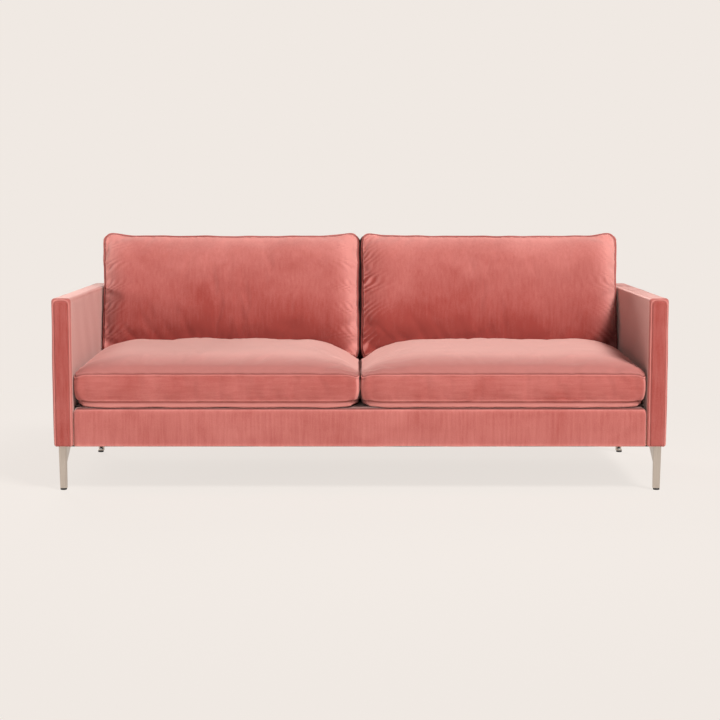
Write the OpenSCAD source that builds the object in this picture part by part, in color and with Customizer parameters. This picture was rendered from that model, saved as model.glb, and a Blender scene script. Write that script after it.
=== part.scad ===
// Tuxedo sofa: two loose seat cushions and two loose back cushions in an upholstered frame whose
// arms and back share one height, on four bent steel legs with levelling feet.
// Z is up, X runs across the width, the front faces -Y. The origin is on the floor under the middle.
// Left and right are named as seen from the front, so left is -X.

/* [Overall] */
// Width over both arms
overall_w = 2134; // [1600:1:2500]
// Depth from the arm fronts to the back
overall_d = 940; // [860:1:1040]
// Height of the arm tops and of the back frame's top
frame_h = 678; // [620:1:740]
// Height of the frame's underside above the floor
base_h = 161; // [130:1:190]
// Height of the deck that the seat cushions lie on
deck_h = 295; // [280:1:330]

/* [Arms and back panel] */
// Thickness of an arm
arm_t = 67; // [58:1:90]
// Thickness of the back panel at its top
back_top_t = 67; // [60:1:90]
// Thickness of the back panel at deck height
back_deck_t = 110; // [95:1:130]
// Radius of the upholstered top edges and front corners
edge_r = 12; // [6:1:16]
// Radius of the arms' outer rear corners
rear_corner_r = 25; // [14:1:30]
// Thickness of the foam on the arm faces
arm_foam_t = 10; // [6:1:12]
// Thickness of the foam under the arm and back tops
top_foam_t = 12; // [8:1:18]
// Thickness of the foam on the back panel's front face
back_foam_t = 12; // [8:1:16]
// Thickness of the padding on the back panel's rear face
rear_foam_t = 8; // [5:1:12]

/* [Velvet] */
// Thickness of the velvet with its lining
cover_t = 2; // [1:0.5:3]
// Width of the velvet turned under the frame
flange_w = 22; // [16:1:24]
// Thickness of the dust cover
dust_t = 1; // [0.6:0.1:2]

/* [Timber] */
// Height of the bottom rails of the arm and back frames
bottom_rail_h = 90; // [70:1:100]
// Height of the top rails of the arm and back frames
top_rail_h = 60; // [40:1:80]
// Width of the arm frame's end posts
arm_post_w = 70; // [50:1:90]
// Width of the arm frame's middle post
mid_post_w = 45; // [35:1:60]
// Thickness of the panel let into the arm frame
infill_t = 9; // [6:1:15]
// Thickness of the front, rear and centre rails of the base
rail_t = 30; // [24:1:36]
// Thickness of the side rails of the base
side_rail_t = 30; // [24:1:36]
// Height of the centre rail
centre_rail_h = 80; // [50:1:100]
// Leg length of a corner block
block_leg = 75; // [50:1:100]
// Height of a corner block
block_h = 70; // [40:1:90]
// Width of a back frame post
back_post_w = 40; // [30:1:50]
// Height of the back frame's middle rail
back_mid_h = 40; // [30:1:60]
// Height of the back frame's rail above the deck
back_seat_rail_h = 45; // [30:1:60]
// Depth of the back frame's bottom rail
back_bottom_t = 40; // [30:1:50]
// Thickness of the back frame's middle rail and of its rail above the deck
back_rail_t = 25; // [18:1:32]

/* [Suspension and deck] */
// Width of a webbing belt
web_w = 70; // [50:1:80]
// Thickness of a webbing belt
web_t = 2; // [1.5:0.1:3]
// Number of belts from front to back
web_long_n = 12; // [8:1:14]
// Number of belts from side to side
web_cross_n = 4; // [3:1:5]
// Thickness of the felt pad over the belts
deck_pad_t = 10; // [6:1:14]
// Width of a belt on the back frame
back_web_w = 60; // [40:1:70]
// Number of belts on the back frame
back_web_n = 12; // [8:1:14]

/* [Front rail] */
// How far the rail's velvet lies behind the arm fronts
rail_set_back = 5; // [2:1:10]
// Thickness of the foam on the rail's front
rail_foam_t = 11; // [6:1:16]
// Radius of the rail's upper ends, seen from the front
rail_end_r = 22; // [10:1:26]
// Depth of the velvet on top of the rail
rail_lip = 65; // [50:1:80]

/* [Bolts] */
// Diameter of the frame bolts
bolt_d = 8; // [6:1:10]
// Clearance of a bolt in its hole, on the radius
bolt_gap = 0.4; // [0.2:0.1:0.8]
// Number of bolts between the base and each arm
arm_bolt_n = 3; // [2:1:4]
// Number of bolts between the base and the back
back_bolt_n = 4; // [2:1:6]

/* [Legs] */
// Thickness of the leg's steel
leg_t = 4; // [3:0.5:5]
// Outer radius of the leg's bend
leg_bend_r = 8; // [6:0.5:10]
// Width of the leg's end face at its top
leg_face_top = 27; // [24:1:34]
// Width of the leg's end face at its bottom
leg_face_bottom = 24; // [21:1:30]
// Depth of the leg's side web at its top
leg_web_top = 110; // [80:1:130]
// Depth of the leg's side web where its slope ends
leg_web_bottom = 12; // [10:1:20]
// Height above the floor at which the slope of the side web ends
leg_slope_end = 98; // [70:1:115]
// Distance from the arm's outer side to the leg
leg_inset_x = 10; // [6:1:16]
// Distance from the arm's front to the leg
leg_inset_y = 42; // [30:1:70]
// Width of the leg's top plate
leg_plate_w = 48; // [44:1:54]
// Thickness of the leg's top plate
leg_plate_t = 4; // [3:0.5:6]
// Diameter of a leg screw
screw_d = 4.8; // [4:0.1:5.5]
// Length of a leg screw under its head
screw_l = 32; // [25:1:45]

/* [Levelling feet] */
// Diameter of the foot's pad
pad_d = 23; // [20:1:23]
// Height of the foot's pad
pad_h = 7; // [5:1:10]
// Diameter of the foot's threaded stem
stem_d = 8; // [6:1:8]
// Length of the foot's stem above its pad
stem_l = 26; // [20:1:40]
// Radial fit of the stem in its nut and plate
stem_fit = 0.1; // [0.05:0.01:0.1]

/* [Seat cushions] */
// Gap between the seat cushions and the back panel behind them
seat_rear_gap = 8; // [7:1:20]
// How far the cushion's front lies behind the arm fronts
seat_set_back = 6; // [2:1:15]
// Gap between a cushion and the arm beside it
side_gap = 3; // [2:0.5:8]
// Gap between two neighbouring cushions
middle_gap = 4; // [2:0.5:10]
// Height of the lower seam above the cushion's underside
seat_low_seam = 22; // [12:1:30]
// Height of the boxing between the seams
seat_boxing_h = 97; // [70:1:120]
// Height of the crown above the upper seam
seat_crown = 86; // [50:1:95]
// Radius of the cushion's front corners
seat_corner_r = 38; // [20:1:60]
// How far the back cushion presses the rear of the seat below its seam
seat_sink = 20; // [18:1:30]

/* [Back cushions] */
// Length of a back cushion up its slope
back_cushion_h = 441; // [400:1:480]
// Width of the boxing of a back cushion
back_boxing_w = 140; // [110:1:150]
// Height of its front crown
back_front_crown = 55; // [35:1:60]
// Height of its rear crown
back_rear_crown = 30; // [20:1:40]
// Angle at which it leans back
back_lean = 13; // [10:0.5:16]
// Radius of its corners
back_corner_r = 26; // [15:1:40]

/* [Zips] */
// Width of the zip's tape
tape_w = 26; // [20:1:30]
// Thickness of the tape
tape_t = 0.8; // [0.5:0.1:1.2]
// Width of the closed teeth
teeth_w = 5; // [4:0.5:6]
// Thickness of the closed teeth above the tape
teeth_t = 1.6; // [1:0.1:2]
// Length of the slider
slider_l = 14; // [10:1:18]
// Length of the slider's pull tab
tab_l = 20; // [14:1:24]

/* [Hidden] */
$fn = 48;
velvet = [0.78, 0.42, 0.39];
timber = [0.80, 0.66, 0.47];
foam = [0.93, 0.88, 0.72];
felt = [0.72, 0.71, 0.68];
webbing = [0.20, 0.20, 0.22];
lining = [0.12, 0.12, 0.13];
steel = [0.72, 0.70, 0.68];
black = [0.07, 0.07, 0.07];

// How far a cut runs past the face that it opens
overrun = 1;
// Smallest gap between a soft piece and what it lies on or in
soft_gap = 0.3;
// Gap between a core and its cover
core_gap = 0.4;
// Width of the glue line between a core's two blocks
glue_line = 0.5;

half_w = overall_w / 2;
half_d = overall_d / 2;
inner_x = half_w - arm_t;
frame_z = base_h + cover_t;
// The arm frame's inner, outer and end faces
arm_in = inner_x + cover_t + arm_foam_t;
arm_out = half_w - cover_t - arm_foam_t;
arm_end = half_d - cover_t - arm_foam_t;
frame_top = frame_h - cover_t - top_foam_t;
frame_rear = half_d - cover_t - rear_foam_t;
// The back panel's front face below the deck, and its slope above it
back_y = half_d - back_deck_t;
lean_height = frame_h - deck_h;
panel_lean = atan((back_deck_t - back_top_t) / lean_height);

// The deck's layers, from the top down
deck_pad_z = deck_h - cover_t - deck_pad_t;
side_rail_top = deck_pad_z - web_t;
rail_top = side_rail_top - web_t;
window_gap = 1;
window_top = deck_pad_z + window_gap;
rail_front = half_d - rail_set_back - cover_t - rail_foam_t;
side_in = arm_in - side_rail_t;
tenon_l = rail_end_r + arm_foam_t;
tenon_drop = rail_end_r;

// Bolt heads, nuts and washers follow the usual proportions of their diameter
bolt_across = 1.85 * bolt_d;
bolt_head_h = 0.66 * bolt_d;
bolt_nut_h = 0.8 * bolt_d;
bolt_washer_d = 2.1 * bolt_d;
bolt_washer_t = 0.2 * bolt_d;
bolt_pocket_d = 2.6 * bolt_d;
bolt_z = frame_z + bottom_rail_h / 2;
// The arm bolts stand between the corner blocks
bolt_first_y = -rail_front + rail_t + block_leg + bolt_washer_d;
bolt_last_y = back_y - rail_t - block_leg - bolt_washer_d;

// The leg's top plate and the holes for its screws
leg_plate_z = base_h - dust_t - leg_plate_t;
leg_out = half_w - leg_inset_x;
leg_in = leg_out - leg_face_top;
leg_y = half_d - leg_inset_y;
foot_gap = 0.3;
foot_plate_t = leg_t;
foot_z = pad_h + foot_gap;
foot_x = leg_in + leg_t + (leg_face_bottom - leg_t) / 2;
foot_y = leg_y - leg_t - stem_d;
foot_plate_back = 2 * stem_d + leg_t;
screw_gap = 0.4;
screw_head_d = 1.85 * screw_d;
screw_head_h = 0.6 * screw_d;
screw_edge = 2.7 * screw_d;
leg_plate_in = leg_out - leg_plate_w + leg_t / 4;
leg_plate_out = leg_plate_in + leg_plate_w;
stem_across = 1.6 * stem_d;
stem_nut_h = 0.5 * stem_d;

seat_w = inner_x - side_gap - middle_gap / 2;
seat_y = -half_d + seat_set_back;
seat_d = back_y - seat_rear_gap - seat_y;
seat_z = deck_h + soft_gap;

// A back cushion's lower front seam rests on the seat's crown, at this share of the crown's height,
// and its rear face leans on the back panel's top edge
seat_press_share = 0.36;
back_edge_gap = 0.4;
back_front_seam = back_rear_crown + back_boxing_w;
back_low_z = seat_z + seat_low_seam + seat_boxing_h + seat_press_share * seat_crown
    - back_front_seam * sin(back_lean);
back_low_y = half_d - back_top_t - back_edge_gap - (frame_h - back_low_z) * tan(back_lean);
back_touch = back_low_y - back_front_seam * cos(back_lean) - seat_y;
back_row_shares = [0.14, 0.32, 0.5, 0.68, 0.86];
back_reach = 150;
back_draw = 4;
back_bulge = 2;

// The seat's rows lie at shares of the depth in front of the back cushion, then at shares of that
// cushion's boxing before and behind the line where it touches
seat_front_shares = [0.14, 0.345, 0.575, 0.78];
seat_press_row_shares = [-0.4, -0.24, -0.1, 0.04, 0.28, 0.68];
seat_rows = concat([for (s = seat_front_shares) s * back_touch],
                   [for (s = seat_press_row_shares) back_touch + s * back_boxing_w]);
// The crown's height at each of those rows, as a share, where the back cushion presses it down
seat_fall_shares = [1, 1, 1, 0.98, 0.87, 0.79, 0.62, 0.4, 0.16, 0];
column_shares = [0.1, 0.29, 0.5, 0.71, 0.9];
corner_step_shares = [0, 0.3];
seat_rear_r = 24;
seat_reach = 190;
seat_draw = 4;
seat_bulge = 2;

// Zip slider and pull tab
slider_wall = 1.6;
slider_gap = 0.3;
slider_w = teeth_w + 2 * (slider_gap + slider_wall);
slider_h = teeth_t + slider_gap + slider_wall;
tab_w = slider_w * 2 / 3;
tab_t = 1.4;
zip_end_gap = 12;

// Builds what is drawn for the right side on the side asked for, 1 right or -1 left
module at_side(side) {
    if (side > 0) children();
    else mirror([1, 0, 0]) children();
}

// Builds what is drawn for the front right on the corner asked for
module at_corner(side, end) {
    at_side(side) {
        if (end > 0) children();
        else mirror([0, 1, 0]) children();
    }
}

// A box given by two opposite corners
module block(low, high) {
    translate(low) cube(high - low);
}

// A rectangle from low to high with a radius for each corner, going round from the low corner
module round_rect(low, high, radii) {
    corners = [low, [high.x, low.y], high, [low.x, high.y]];
    inward = [[1, 1], [-1, 1], [-1, -1], [1, -1]];
    difference() {
        translate(low) square(high - low);
        for (k = [0:3]) if (radii[k] > 0) corner_cut(corners[k], inward[k], radii[k]);
    }
}

// What a round corner takes away from a square one
module corner_cut(corner, inward, radius) {
    translate(corner) scale([inward.x, inward.y]) difference() {
        translate([-overrun, -overrun]) square(radius + overrun);
        translate([radius, radius]) circle(r = radius);
    }
}

// Extrudes an outline drawn in X and Z along Y, between two places
module along_y(from, to) {
    translate([0, to, 0]) rotate([90, 0, 0]) linear_extrude(to - from) children();
}

// Extrudes an outline drawn in Y and Z along X, between two places
module along_x(from, to) {
    translate([from, 0, 0]) rotate([90, 0, 90]) linear_extrude(to - from) children();
}

// The right arm's outer form, drawn in by an inset
module arm_form(inset) {
    x0 = inner_x + inset;
    x1 = half_w - inset;
    y1 = half_d - inset;
    z0 = base_h + inset;
    z1 = frame_h - inset;
    r = edge_r - inset;
    rear_r = rear_corner_r - inset;
    intersection() {
        translate([0, 0, z0]) linear_extrude(z1 - z0) round_rect([x0, -y1], [x1, y1], [r, r, rear_r, 0]);
        along_y(-y1 - overrun, y1 + overrun) round_rect([x0, z0], [x1, z1], [0, 0, r, r]);
        along_x(x0 - overrun, x1 + overrun) round_rect([-y1, z0], [y1, z1], [0, 0, r, r]);
    }
}

// The arm's inner side stays open below the deck, where the base is bolted to the arm frame
module arm_window() {
    block([inner_x - overrun, -rail_front, frame_z], [arm_in, back_y, window_top]);
}

module leg_screw_holes(side, radius, from, to) {
    for (end = [1, -1]) at_corner(side, end) leg_screw_places() translate([0, 0, from])
        cylinder(r = radius, h = to - from);
}

module arm_cover(side) {
    color(velvet) difference() {
        at_side(side) difference() {
            arm_form(0);
            arm_form(cover_t);
            arm_window();
            block([inner_x + flange_w, -half_d + flange_w, base_h - overrun],
                  [half_w - flange_w, half_d - flange_w, frame_z + overrun]);
        }
        leg_screw_holes(side, screw_d / 2 + screw_gap, base_h - overrun, frame_z + overrun);
    }
}

module arm_foam(side) {
    color(foam) at_side(side) difference() {
        arm_form(cover_t);
        block([arm_in, -arm_end, base_h], [arm_out, arm_end, frame_top]);
        arm_window();
    }
}

// Places of the bolts along an arm
function arm_bolt_y(k) = bolt_first_y + k * (bolt_last_y - bolt_first_y) / (arm_bolt_n - 1);

// The arm frame: rails above and below, three posts and a panel let in between them
module arm_frame(side) {
    color(timber) difference() {
        at_side(side) difference() {
            union() {
                block([arm_in, -arm_end, frame_z], [arm_out, arm_end, frame_z + bottom_rail_h]);
                block([arm_in, -arm_end, frame_top - top_rail_h], [arm_out, arm_end, frame_top]);
                for (end = [1, -1]) at_corner(1, end)
                    block([arm_in, -arm_end, frame_z], [arm_out, -arm_end + arm_post_w, frame_top]);
                block([arm_in, -mid_post_w / 2, frame_z], [arm_out, mid_post_w / 2, frame_top]);
                block([(arm_in + arm_out - infill_t) / 2, -arm_end, frame_z],
                      [(arm_in + arm_out + infill_t) / 2, arm_end, frame_top]);
            }
            for (k = [0:arm_bolt_n - 1]) translate([arm_in - overrun, arm_bolt_y(k), bolt_z]) rotate([0, 90, 0]) {
                cylinder(d = bolt_d + 2 * bolt_gap, h = arm_out - arm_in + 2 * overrun);
                translate([0, 0, arm_out - arm_in + overrun - bolt_nut_h - bolt_washer_t])
                    cylinder(d = bolt_pocket_d, h = bolt_nut_h + bolt_washer_t + overrun);
            }
        }
        leg_screw_holes(side, screw_d / 2, base_h, leg_plate_z + leg_plate_t + screw_l);
    }
}

// A hexagon bolt along Z with its washers and nut; grip is what it clamps
module bolt(grip) {
    translate([0, 0, -bolt_washer_t - bolt_head_h]) cylinder(d = bolt_across, h = bolt_head_h, $fn = 6);
    translate([0, 0, -bolt_washer_t]) cylinder(d = bolt_washer_d, h = bolt_washer_t);
    translate([0, 0, -bolt_washer_t]) cylinder(d = bolt_d, h = grip + bolt_washer_t + bolt_nut_h);
    translate([0, 0, grip]) cylinder(d = bolt_washer_d, h = bolt_washer_t);
    translate([0, 0, grip + bolt_washer_t]) cylinder(d = bolt_across, h = bolt_nut_h - bolt_washer_t, $fn = 6);
}

module arm_bolts() {
    grip = arm_out - side_in - bolt_nut_h - bolt_washer_t;
    color(steel) for (side = [1, -1]) at_side(side) for (k = [0:arm_bolt_n - 1])
        translate([side_in, arm_bolt_y(k), bolt_z]) rotate([0, 90, 0]) bolt(grip);
}

// The front rail's board runs between the arm frames; its ends are cut down under the rounded velvet
module base_front_rail() {
    color(timber) {
        block([-inner_x + tenon_l, -rail_front, frame_z], [inner_x - tenon_l, -rail_front + rail_t, rail_top]);
        for (side = [1, -1]) at_side(side)
            block([inner_x - tenon_l, -rail_front, frame_z],
                  [arm_in, -rail_front + rail_t, rail_top - tenon_drop]);
    }
}

module back_bolt_places() {
    span = 2 * (inner_x - block_leg - back_post_w);
    for (k = [0:back_bolt_n - 1]) translate([-span / 2 + k * span / (back_bolt_n - 1), 0, bolt_z]) children();
}

module base_rear_rail() {
    color(timber) difference() {
        block([-arm_in, back_y - rail_t, frame_z], [arm_in, back_y, rail_top]);
        back_bolt_places() translate([0, back_y + overrun, 0]) rotate([90, 0, 0])
            cylinder(d = bolt_d + 2 * bolt_gap, h = rail_t + 2 * overrun);
    }
}

module base_side_rail(side) {
    color(timber) at_side(side) difference() {
        block([side_in, -rail_front + rail_t, frame_z], [arm_in, back_y - rail_t, side_rail_top]);
        for (k = [0:arm_bolt_n - 1]) translate([side_in - overrun, arm_bolt_y(k), bolt_z]) rotate([0, 90, 0])
            cylinder(d = bolt_d + 2 * bolt_gap, h = side_rail_t + 2 * overrun);
    }
}

module base_centre_rail() {
    color(timber) block([-rail_t / 2, -rail_front + rail_t, frame_z],
                        [rail_t / 2, back_y - rail_t, frame_z + centre_rail_h]);
}

// Three-cornered blocks that stiffen the base where its rails meet
module base_corner_blocks() {
    color(timber) for (side = [1, -1]) at_side(side) translate([0, 0, frame_z]) linear_extrude(block_h) {
        polygon([[side_in, -rail_front + rail_t], [side_in - block_leg, -rail_front + rail_t],
                 [side_in, -rail_front + rail_t + block_leg]]);
        polygon([[side_in, back_y - rail_t], [side_in - block_leg, back_y - rail_t],
                 [side_in, back_y - rail_t - block_leg]]);
    }
}

// Elastic belts from the front rail to the rear rail
module seat_webbing_long() {
    pitch = 2 * side_in / web_long_n;
    color(webbing) for (k = [0:web_long_n - 1]) translate([-side_in + (k + 0.5) * pitch, 0, 0])
        block([-web_w / 2, -rail_front + rail_t / 5, rail_top], [web_w / 2, back_y - rail_t / 5, rail_top + web_t]);
}

// Elastic belts from side rail to side rail, over the long ones
module seat_webbing_cross() {
    span = back_y - rail_t + rail_front - rail_t;
    pitch = span / web_cross_n;
    x1 = arm_in - side_rail_t / 5;
    color(webbing) for (k = [0:web_cross_n - 1]) translate([0, -rail_front + rail_t + (k + 0.5) * pitch, 0])
        block([-x1, -web_w / 2, side_rail_top], [x1, web_w / 2, side_rail_top + web_t]);
}

module deck_pad() {
    color(felt) block([-inner_x + cover_t, -rail_front + rail_t, deck_pad_z],
                      [inner_x - cover_t, back_y - cover_t, deck_h - cover_t]);
}

module deck_cover() {
    color(velvet) block([-inner_x, -half_d + rail_set_back + rail_lip, deck_h - cover_t],
                        [inner_x, back_y - cover_t, deck_h]);
}

// The front rail's upholstered form, drawn in by an inset, with its round upper ends
module rail_form(inset, depth) {
    y0 = -half_d + rail_set_back + inset;
    r = edge_r - inset;
    end_r = rail_end_r - inset;
    intersection() {
        along_x(-inner_x + inset, inner_x - inset)
            round_rect([y0, base_h + inset], [y0 + depth, deck_h - inset], [0, 0, 0, r]);
        along_y(y0 - overrun, y0 + depth + overrun)
            round_rect([-inner_x + inset, base_h], [inner_x - inset, deck_h - inset], [0, 0, end_r, end_r]);
    }
}

module front_rail_cover() {
    back = -rail_front + rail_t;
    color(velvet) difference() {
        rail_form(0, rail_lip);
        rail_form(cover_t, rail_lip);
        block([-inner_x + cover_t, -rail_front + flange_w, base_h - overrun],
              [inner_x - cover_t, half_d, deck_h - cover_t]);
        block([-arm_in, -rail_front, frame_z], [arm_in, back + overrun, rail_top - tenon_drop]);
        block([-arm_in, back, frame_z - overrun - cover_t], [arm_in, half_d, deck_pad_z]);
    }
}

module front_rail_foam() {
    back = -rail_front + rail_t;
    color(foam) difference() {
        rail_form(cover_t, back + half_d - rail_set_back - cover_t);
        block([-arm_in, -rail_front, base_h], [arm_in, back + overrun, rail_top + web_t]);
    }
}

// A thin black cloth closes the underside
module dust_cover() {
    color(lining) difference() {
        block([-half_w + flange_w / 2, -half_d + flange_w / 2, base_h - dust_t],
              [half_w - flange_w / 2, half_d - flange_w / 2, base_h]);
        for (side = [1, -1])
            leg_screw_holes(side, screw_d / 2 + screw_gap, base_h - dust_t - overrun, base_h + overrun);
    }
}

// The back panel's outline in Y and Z, drawn in at its front, rear and top
function back_section(front, rear, top, low, r) = let(
    y_top = half_d - back_top_t + front / cos(panel_lean) - top * tan(panel_lean),
    y_deck = back_y + front / cos(panel_lean),
    z_top = frame_h - top,
    centre = [y_top + r * (1 - sin(panel_lean)) / cos(panel_lean), z_top - r]
) concat(
    [[half_d - rear, low]],
    [for (k = [0:4]) let(a = 90 * k / 4) [half_d - rear - r + r * cos(a), z_top - r + r * sin(a)]],
    [for (k = [0:4]) let(a = 90 + (90 - panel_lean) * k / 4) [centre.x + r * cos(a), centre.y + r * sin(a)]],
    [[y_deck, deck_h], [y_deck, low]]
);

// The back panel's front stays open below the deck, where the base is bolted to the back frame
module back_window(depth) {
    block([-half_w, back_y - overrun, frame_z], [half_w, back_y + depth, window_top]);
}

module back_cover() {
    color(velvet) difference() {
        along_x(-inner_x, inner_x) polygon(back_section(0, 0, 0, base_h, edge_r));
        along_x(-half_w, half_w) polygon(back_section(cover_t, cover_t, cover_t, frame_z, edge_r - cover_t));
        back_window(cover_t + overrun);
        block([-half_w, 0, base_h - overrun], [half_w, half_d - flange_w, frame_z + overrun]);
    }
}

// The outline that the back frame's members keep to, starting at a depth behind its front face
module back_core_outline(depth = 0) {
    polygon(back_section(cover_t + back_foam_t + web_t + depth, cover_t + rear_foam_t,
                         cover_t + top_foam_t, window_top, overrun));
}

module back_foam() {
    color(foam) difference() {
        along_x(-inner_x, inner_x) polygon(back_section(cover_t, cover_t, cover_t, frame_z, edge_r - cover_t));
        along_x(-half_w, half_w)
            polygon(back_section(cover_t + back_foam_t, cover_t + rear_foam_t, cover_t + top_foam_t,
                                 frame_z - overrun, overrun));
        back_window(cover_t + back_foam_t + overrun);
    }
}

// The back frame: shaped posts joined by four rails
module back_frame() {
    mid_z = (window_top + back_seat_rail_h + frame_top - top_rail_h) / 2;
    posts = [-inner_x + back_post_w / 2, -inner_x / 3, inner_x / 3, inner_x - back_post_w / 2];
    color(timber) difference() {
        union() {
            for (x = posts) translate([x, 0, 0]) {
                along_x(-back_post_w / 2, back_post_w / 2) back_core_outline();
                block([-back_post_w / 2, back_y, frame_z], [back_post_w / 2, frame_rear, window_top]);
            }
            block([-inner_x, back_y, frame_z], [inner_x, back_y + back_bottom_t, frame_z + bottom_rail_h]);
            intersection() {
                along_x(-inner_x, inner_x) back_core_outline();
                block([-half_w, 0, frame_top - top_rail_h], [half_w, half_d, frame_h]);
            }
            intersection() {
                along_x(-inner_x, inner_x) difference() {
                    back_core_outline();
                    back_core_outline(back_rail_t);
                }
                union() {
                    block([-half_w, 0, window_top], [half_w, half_d, window_top + back_seat_rail_h]);
                    block([-half_w, 0, mid_z - back_mid_h / 2], [half_w, half_d, mid_z + back_mid_h / 2]);
                }
            }
        }
        back_bolt_places() translate([0, back_y + back_bottom_t + overrun, 0]) rotate([90, 0, 0])
            cylinder(d = bolt_d + 2 * bolt_gap, h = back_bottom_t + 2 * overrun);
    }
}

module back_bolts() {
    color(steel) back_bolt_places() translate([0, back_y - rail_t, 0]) rotate([-90, 0, 0])
        bolt(rail_t + back_bottom_t);
}

// Elastic belts stretched up the front of the back frame, under its foam
module back_webbing() {
    pitch = 2 * inner_x / back_web_n;
    color(webbing) intersection() {
        difference() {
            along_x(-inner_x, inner_x)
                polygon(back_section(cover_t + back_foam_t, cover_t, cover_t + top_foam_t, base_h, overrun));
            along_x(-half_w, half_w) polygon(back_section(cover_t + back_foam_t + web_t, 0, 0, base_h, overrun));
        }
        for (k = [0:back_web_n - 1]) translate([-inner_x + (k + 0.5) * pitch, 0, 0])
            block([-back_web_w / 2, 0, window_top + back_seat_rail_h / 4],
                  [back_web_w / 2, half_d, frame_top - top_rail_h / 4]);
    }
}

// Places of the screws in a front right leg's top plate
module leg_screw_places() {
    for (x = [leg_plate_in + screw_edge / 2, leg_plate_out - screw_edge])
        for (y = [-leg_y + leg_t + screw_edge, -leg_y + leg_web_top - screw_edge])
            translate([x, y, 0]) children();
}

// One leg: a bent plate whose side web runs up to a long gusset, with a top plate and a foot plate
module leg(side, end) {
    z1 = leg_plate_z;
    color(steel) at_corner(side, end) difference() {
        union() {
            along_y(-leg_y, -leg_y + leg_t) polygon([
                [leg_in + leg_bend_r, foot_z], [leg_in + leg_face_bottom, foot_z], [leg_out, z1],
                [leg_in + leg_bend_r, z1]]);
            along_x(leg_in, leg_in + leg_t) polygon([
                [-leg_y + leg_bend_r, foot_z], [-leg_y + leg_web_bottom, foot_z],
                [-leg_y + leg_web_bottom, leg_slope_end], [-leg_y + leg_web_top, z1],
                [-leg_y + leg_bend_r, z1]]);
            translate([leg_in + leg_bend_r, -leg_y + leg_bend_r, foot_z]) rotate([0, 0, 180])
                rotate_extrude(angle = 90) translate([leg_bend_r - leg_t, 0]) square([leg_t, z1 - foot_z]);
            block([leg_plate_in, -leg_y, z1], [leg_plate_out, -leg_y + leg_web_top, z1 + leg_plate_t]);
            block([leg_in + leg_t, -leg_y + leg_t, foot_z],
                  [leg_in + leg_face_bottom, -leg_y + foot_plate_back, foot_z + foot_plate_t]);
        }
        leg_screw_places() translate([0, 0, z1 - overrun])
            cylinder(r = screw_d / 2 + screw_gap, h = leg_plate_t + 2 * overrun);
        translate([foot_x, -foot_y, foot_z - overrun])
            cylinder(r = stem_d / 2 + stem_fit, h = foot_plate_t + 2 * overrun);
    }
}

// Pan-head wood screws, four to a leg
module leg_screws() {
    color(steel) for (side = [1, -1], end = [1, -1]) at_corner(side, end) leg_screw_places()
        translate([0, 0, leg_plate_z]) {
            translate([0, 0, -screw_head_h]) cylinder(d = screw_head_d, h = screw_head_h);
            cylinder(d = screw_d, h = screw_l);
        }
}

// A nut welded on each foot plate carries the levelling foot's thread
module leveller_nuts() {
    color(steel) for (side = [1, -1], end = [1, -1]) at_corner(side, end)
        translate([foot_x, -foot_y, foot_z + foot_plate_t]) difference() {
            cylinder(d = stem_across, h = stem_nut_h, $fn = 6);
            translate([0, 0, -overrun]) cylinder(r = stem_d / 2 + stem_fit, h = stem_nut_h + 2 * overrun);
        }
}

module leveller(side, end) {
    color(black) at_corner(side, end) translate([foot_x, -foot_y, 0]) {
        cylinder(d = pad_d, h = pad_h);
        cylinder(d = stem_d, h = pad_h + stem_l);
    }
}

// Grid lines of a cushion along one side: close together in the round corners, spread between them
function grid_lines(size, r_low, r_high, between) = concat(
    [for (s = corner_step_shares) s * r_low], [r_low],
    between,
    [size - r_high], [for (k = [len(corner_step_shares) - 1:-1:0]) size - corner_step_shares[k] * r_high]
);

// Moves a point of a square corner on to a round one of the same radius
function rounded(x, y, half, depth, r_low, r_high) = let(
    r = y < depth / 2 ? r_low : r_high,
    px = max(0, abs(x) - half + r),
    py = max(0, r - min(y, depth - y)),
    n = norm([px, py]),
    k = n > 0 ? max(px, py) / n : 1,
    edge_y = r - py * k
) [sign(x) * (px > 0 ? half - r + px * k : abs(x)), py > 0 ? (y < depth / 2 ? edge_y : depth - edge_y) : y];

// Draws the middle of each side in between its corners; the side that holds the zip stays straight
function drawn_in(p, half, depth, draw, zip_end) = let(
    u = p.x / half,
    v = 2 * p.y / depth - 1,
    end_weight = zip_end > 0 ? (1 - v) / 2 : (1 + v) / 2
) [p.x - draw * u * (1 - v * v), p.y + (zip_end > 0 ? 1 : -1) * draw * (1 - u * u) * end_weight];

// How far the filling has raised a panel at a distance from its edge
function swell(distance, reach) = 1 - pow(1 - min(1, distance / reach), 2.2);

// Index pairs of the grid's outer ring, counter-clockwise from above
function ring_pair(k, nx, ny) =
    k < nx - 1 ? [k, 0]
    : k < nx + ny - 2 ? [nx - 1, k - nx + 1]
    : k < 2 * nx + ny - 3 ? [2 * nx + ny - 3 - k, ny - 1]
    : [0, 2 * (nx + ny - 2) - k];

// Triangles over both panels and two rows of boxing
function cushion_faces(nx, ny) = let(
    ring_n = 2 * (nx + ny - 2),
    top_n = nx * ny,
    mid_0 = 2 * top_n,
    at = function(k) let(p = ring_pair(k % ring_n, nx, ny)) p.x * ny + p.y
) concat(
    [for (i = [0:nx - 2], j = [0:ny - 2]) let(a = i * ny + j) each
        [[a, a + 1, a + ny + 1], [a, a + ny + 1, a + ny]]],
    [for (i = [0:nx - 2], j = [0:ny - 2]) let(a = top_n + i * ny + j) each
        [[a, a + ny + 1, a + 1], [a, a + ny, a + ny + 1]]],
    [for (k = [0:ring_n - 1]) let(
        t0 = at(k), t1 = at(k + 1), b0 = top_n + t0, b1 = top_n + t1,
        m0 = mid_0 + k, m1 = mid_0 + (k + 1) % ring_n
    ) each [[m0, t0, t1], [m0, t1, m1], [b0, m0, m1], [b0, m1, b1]]]
);

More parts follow.
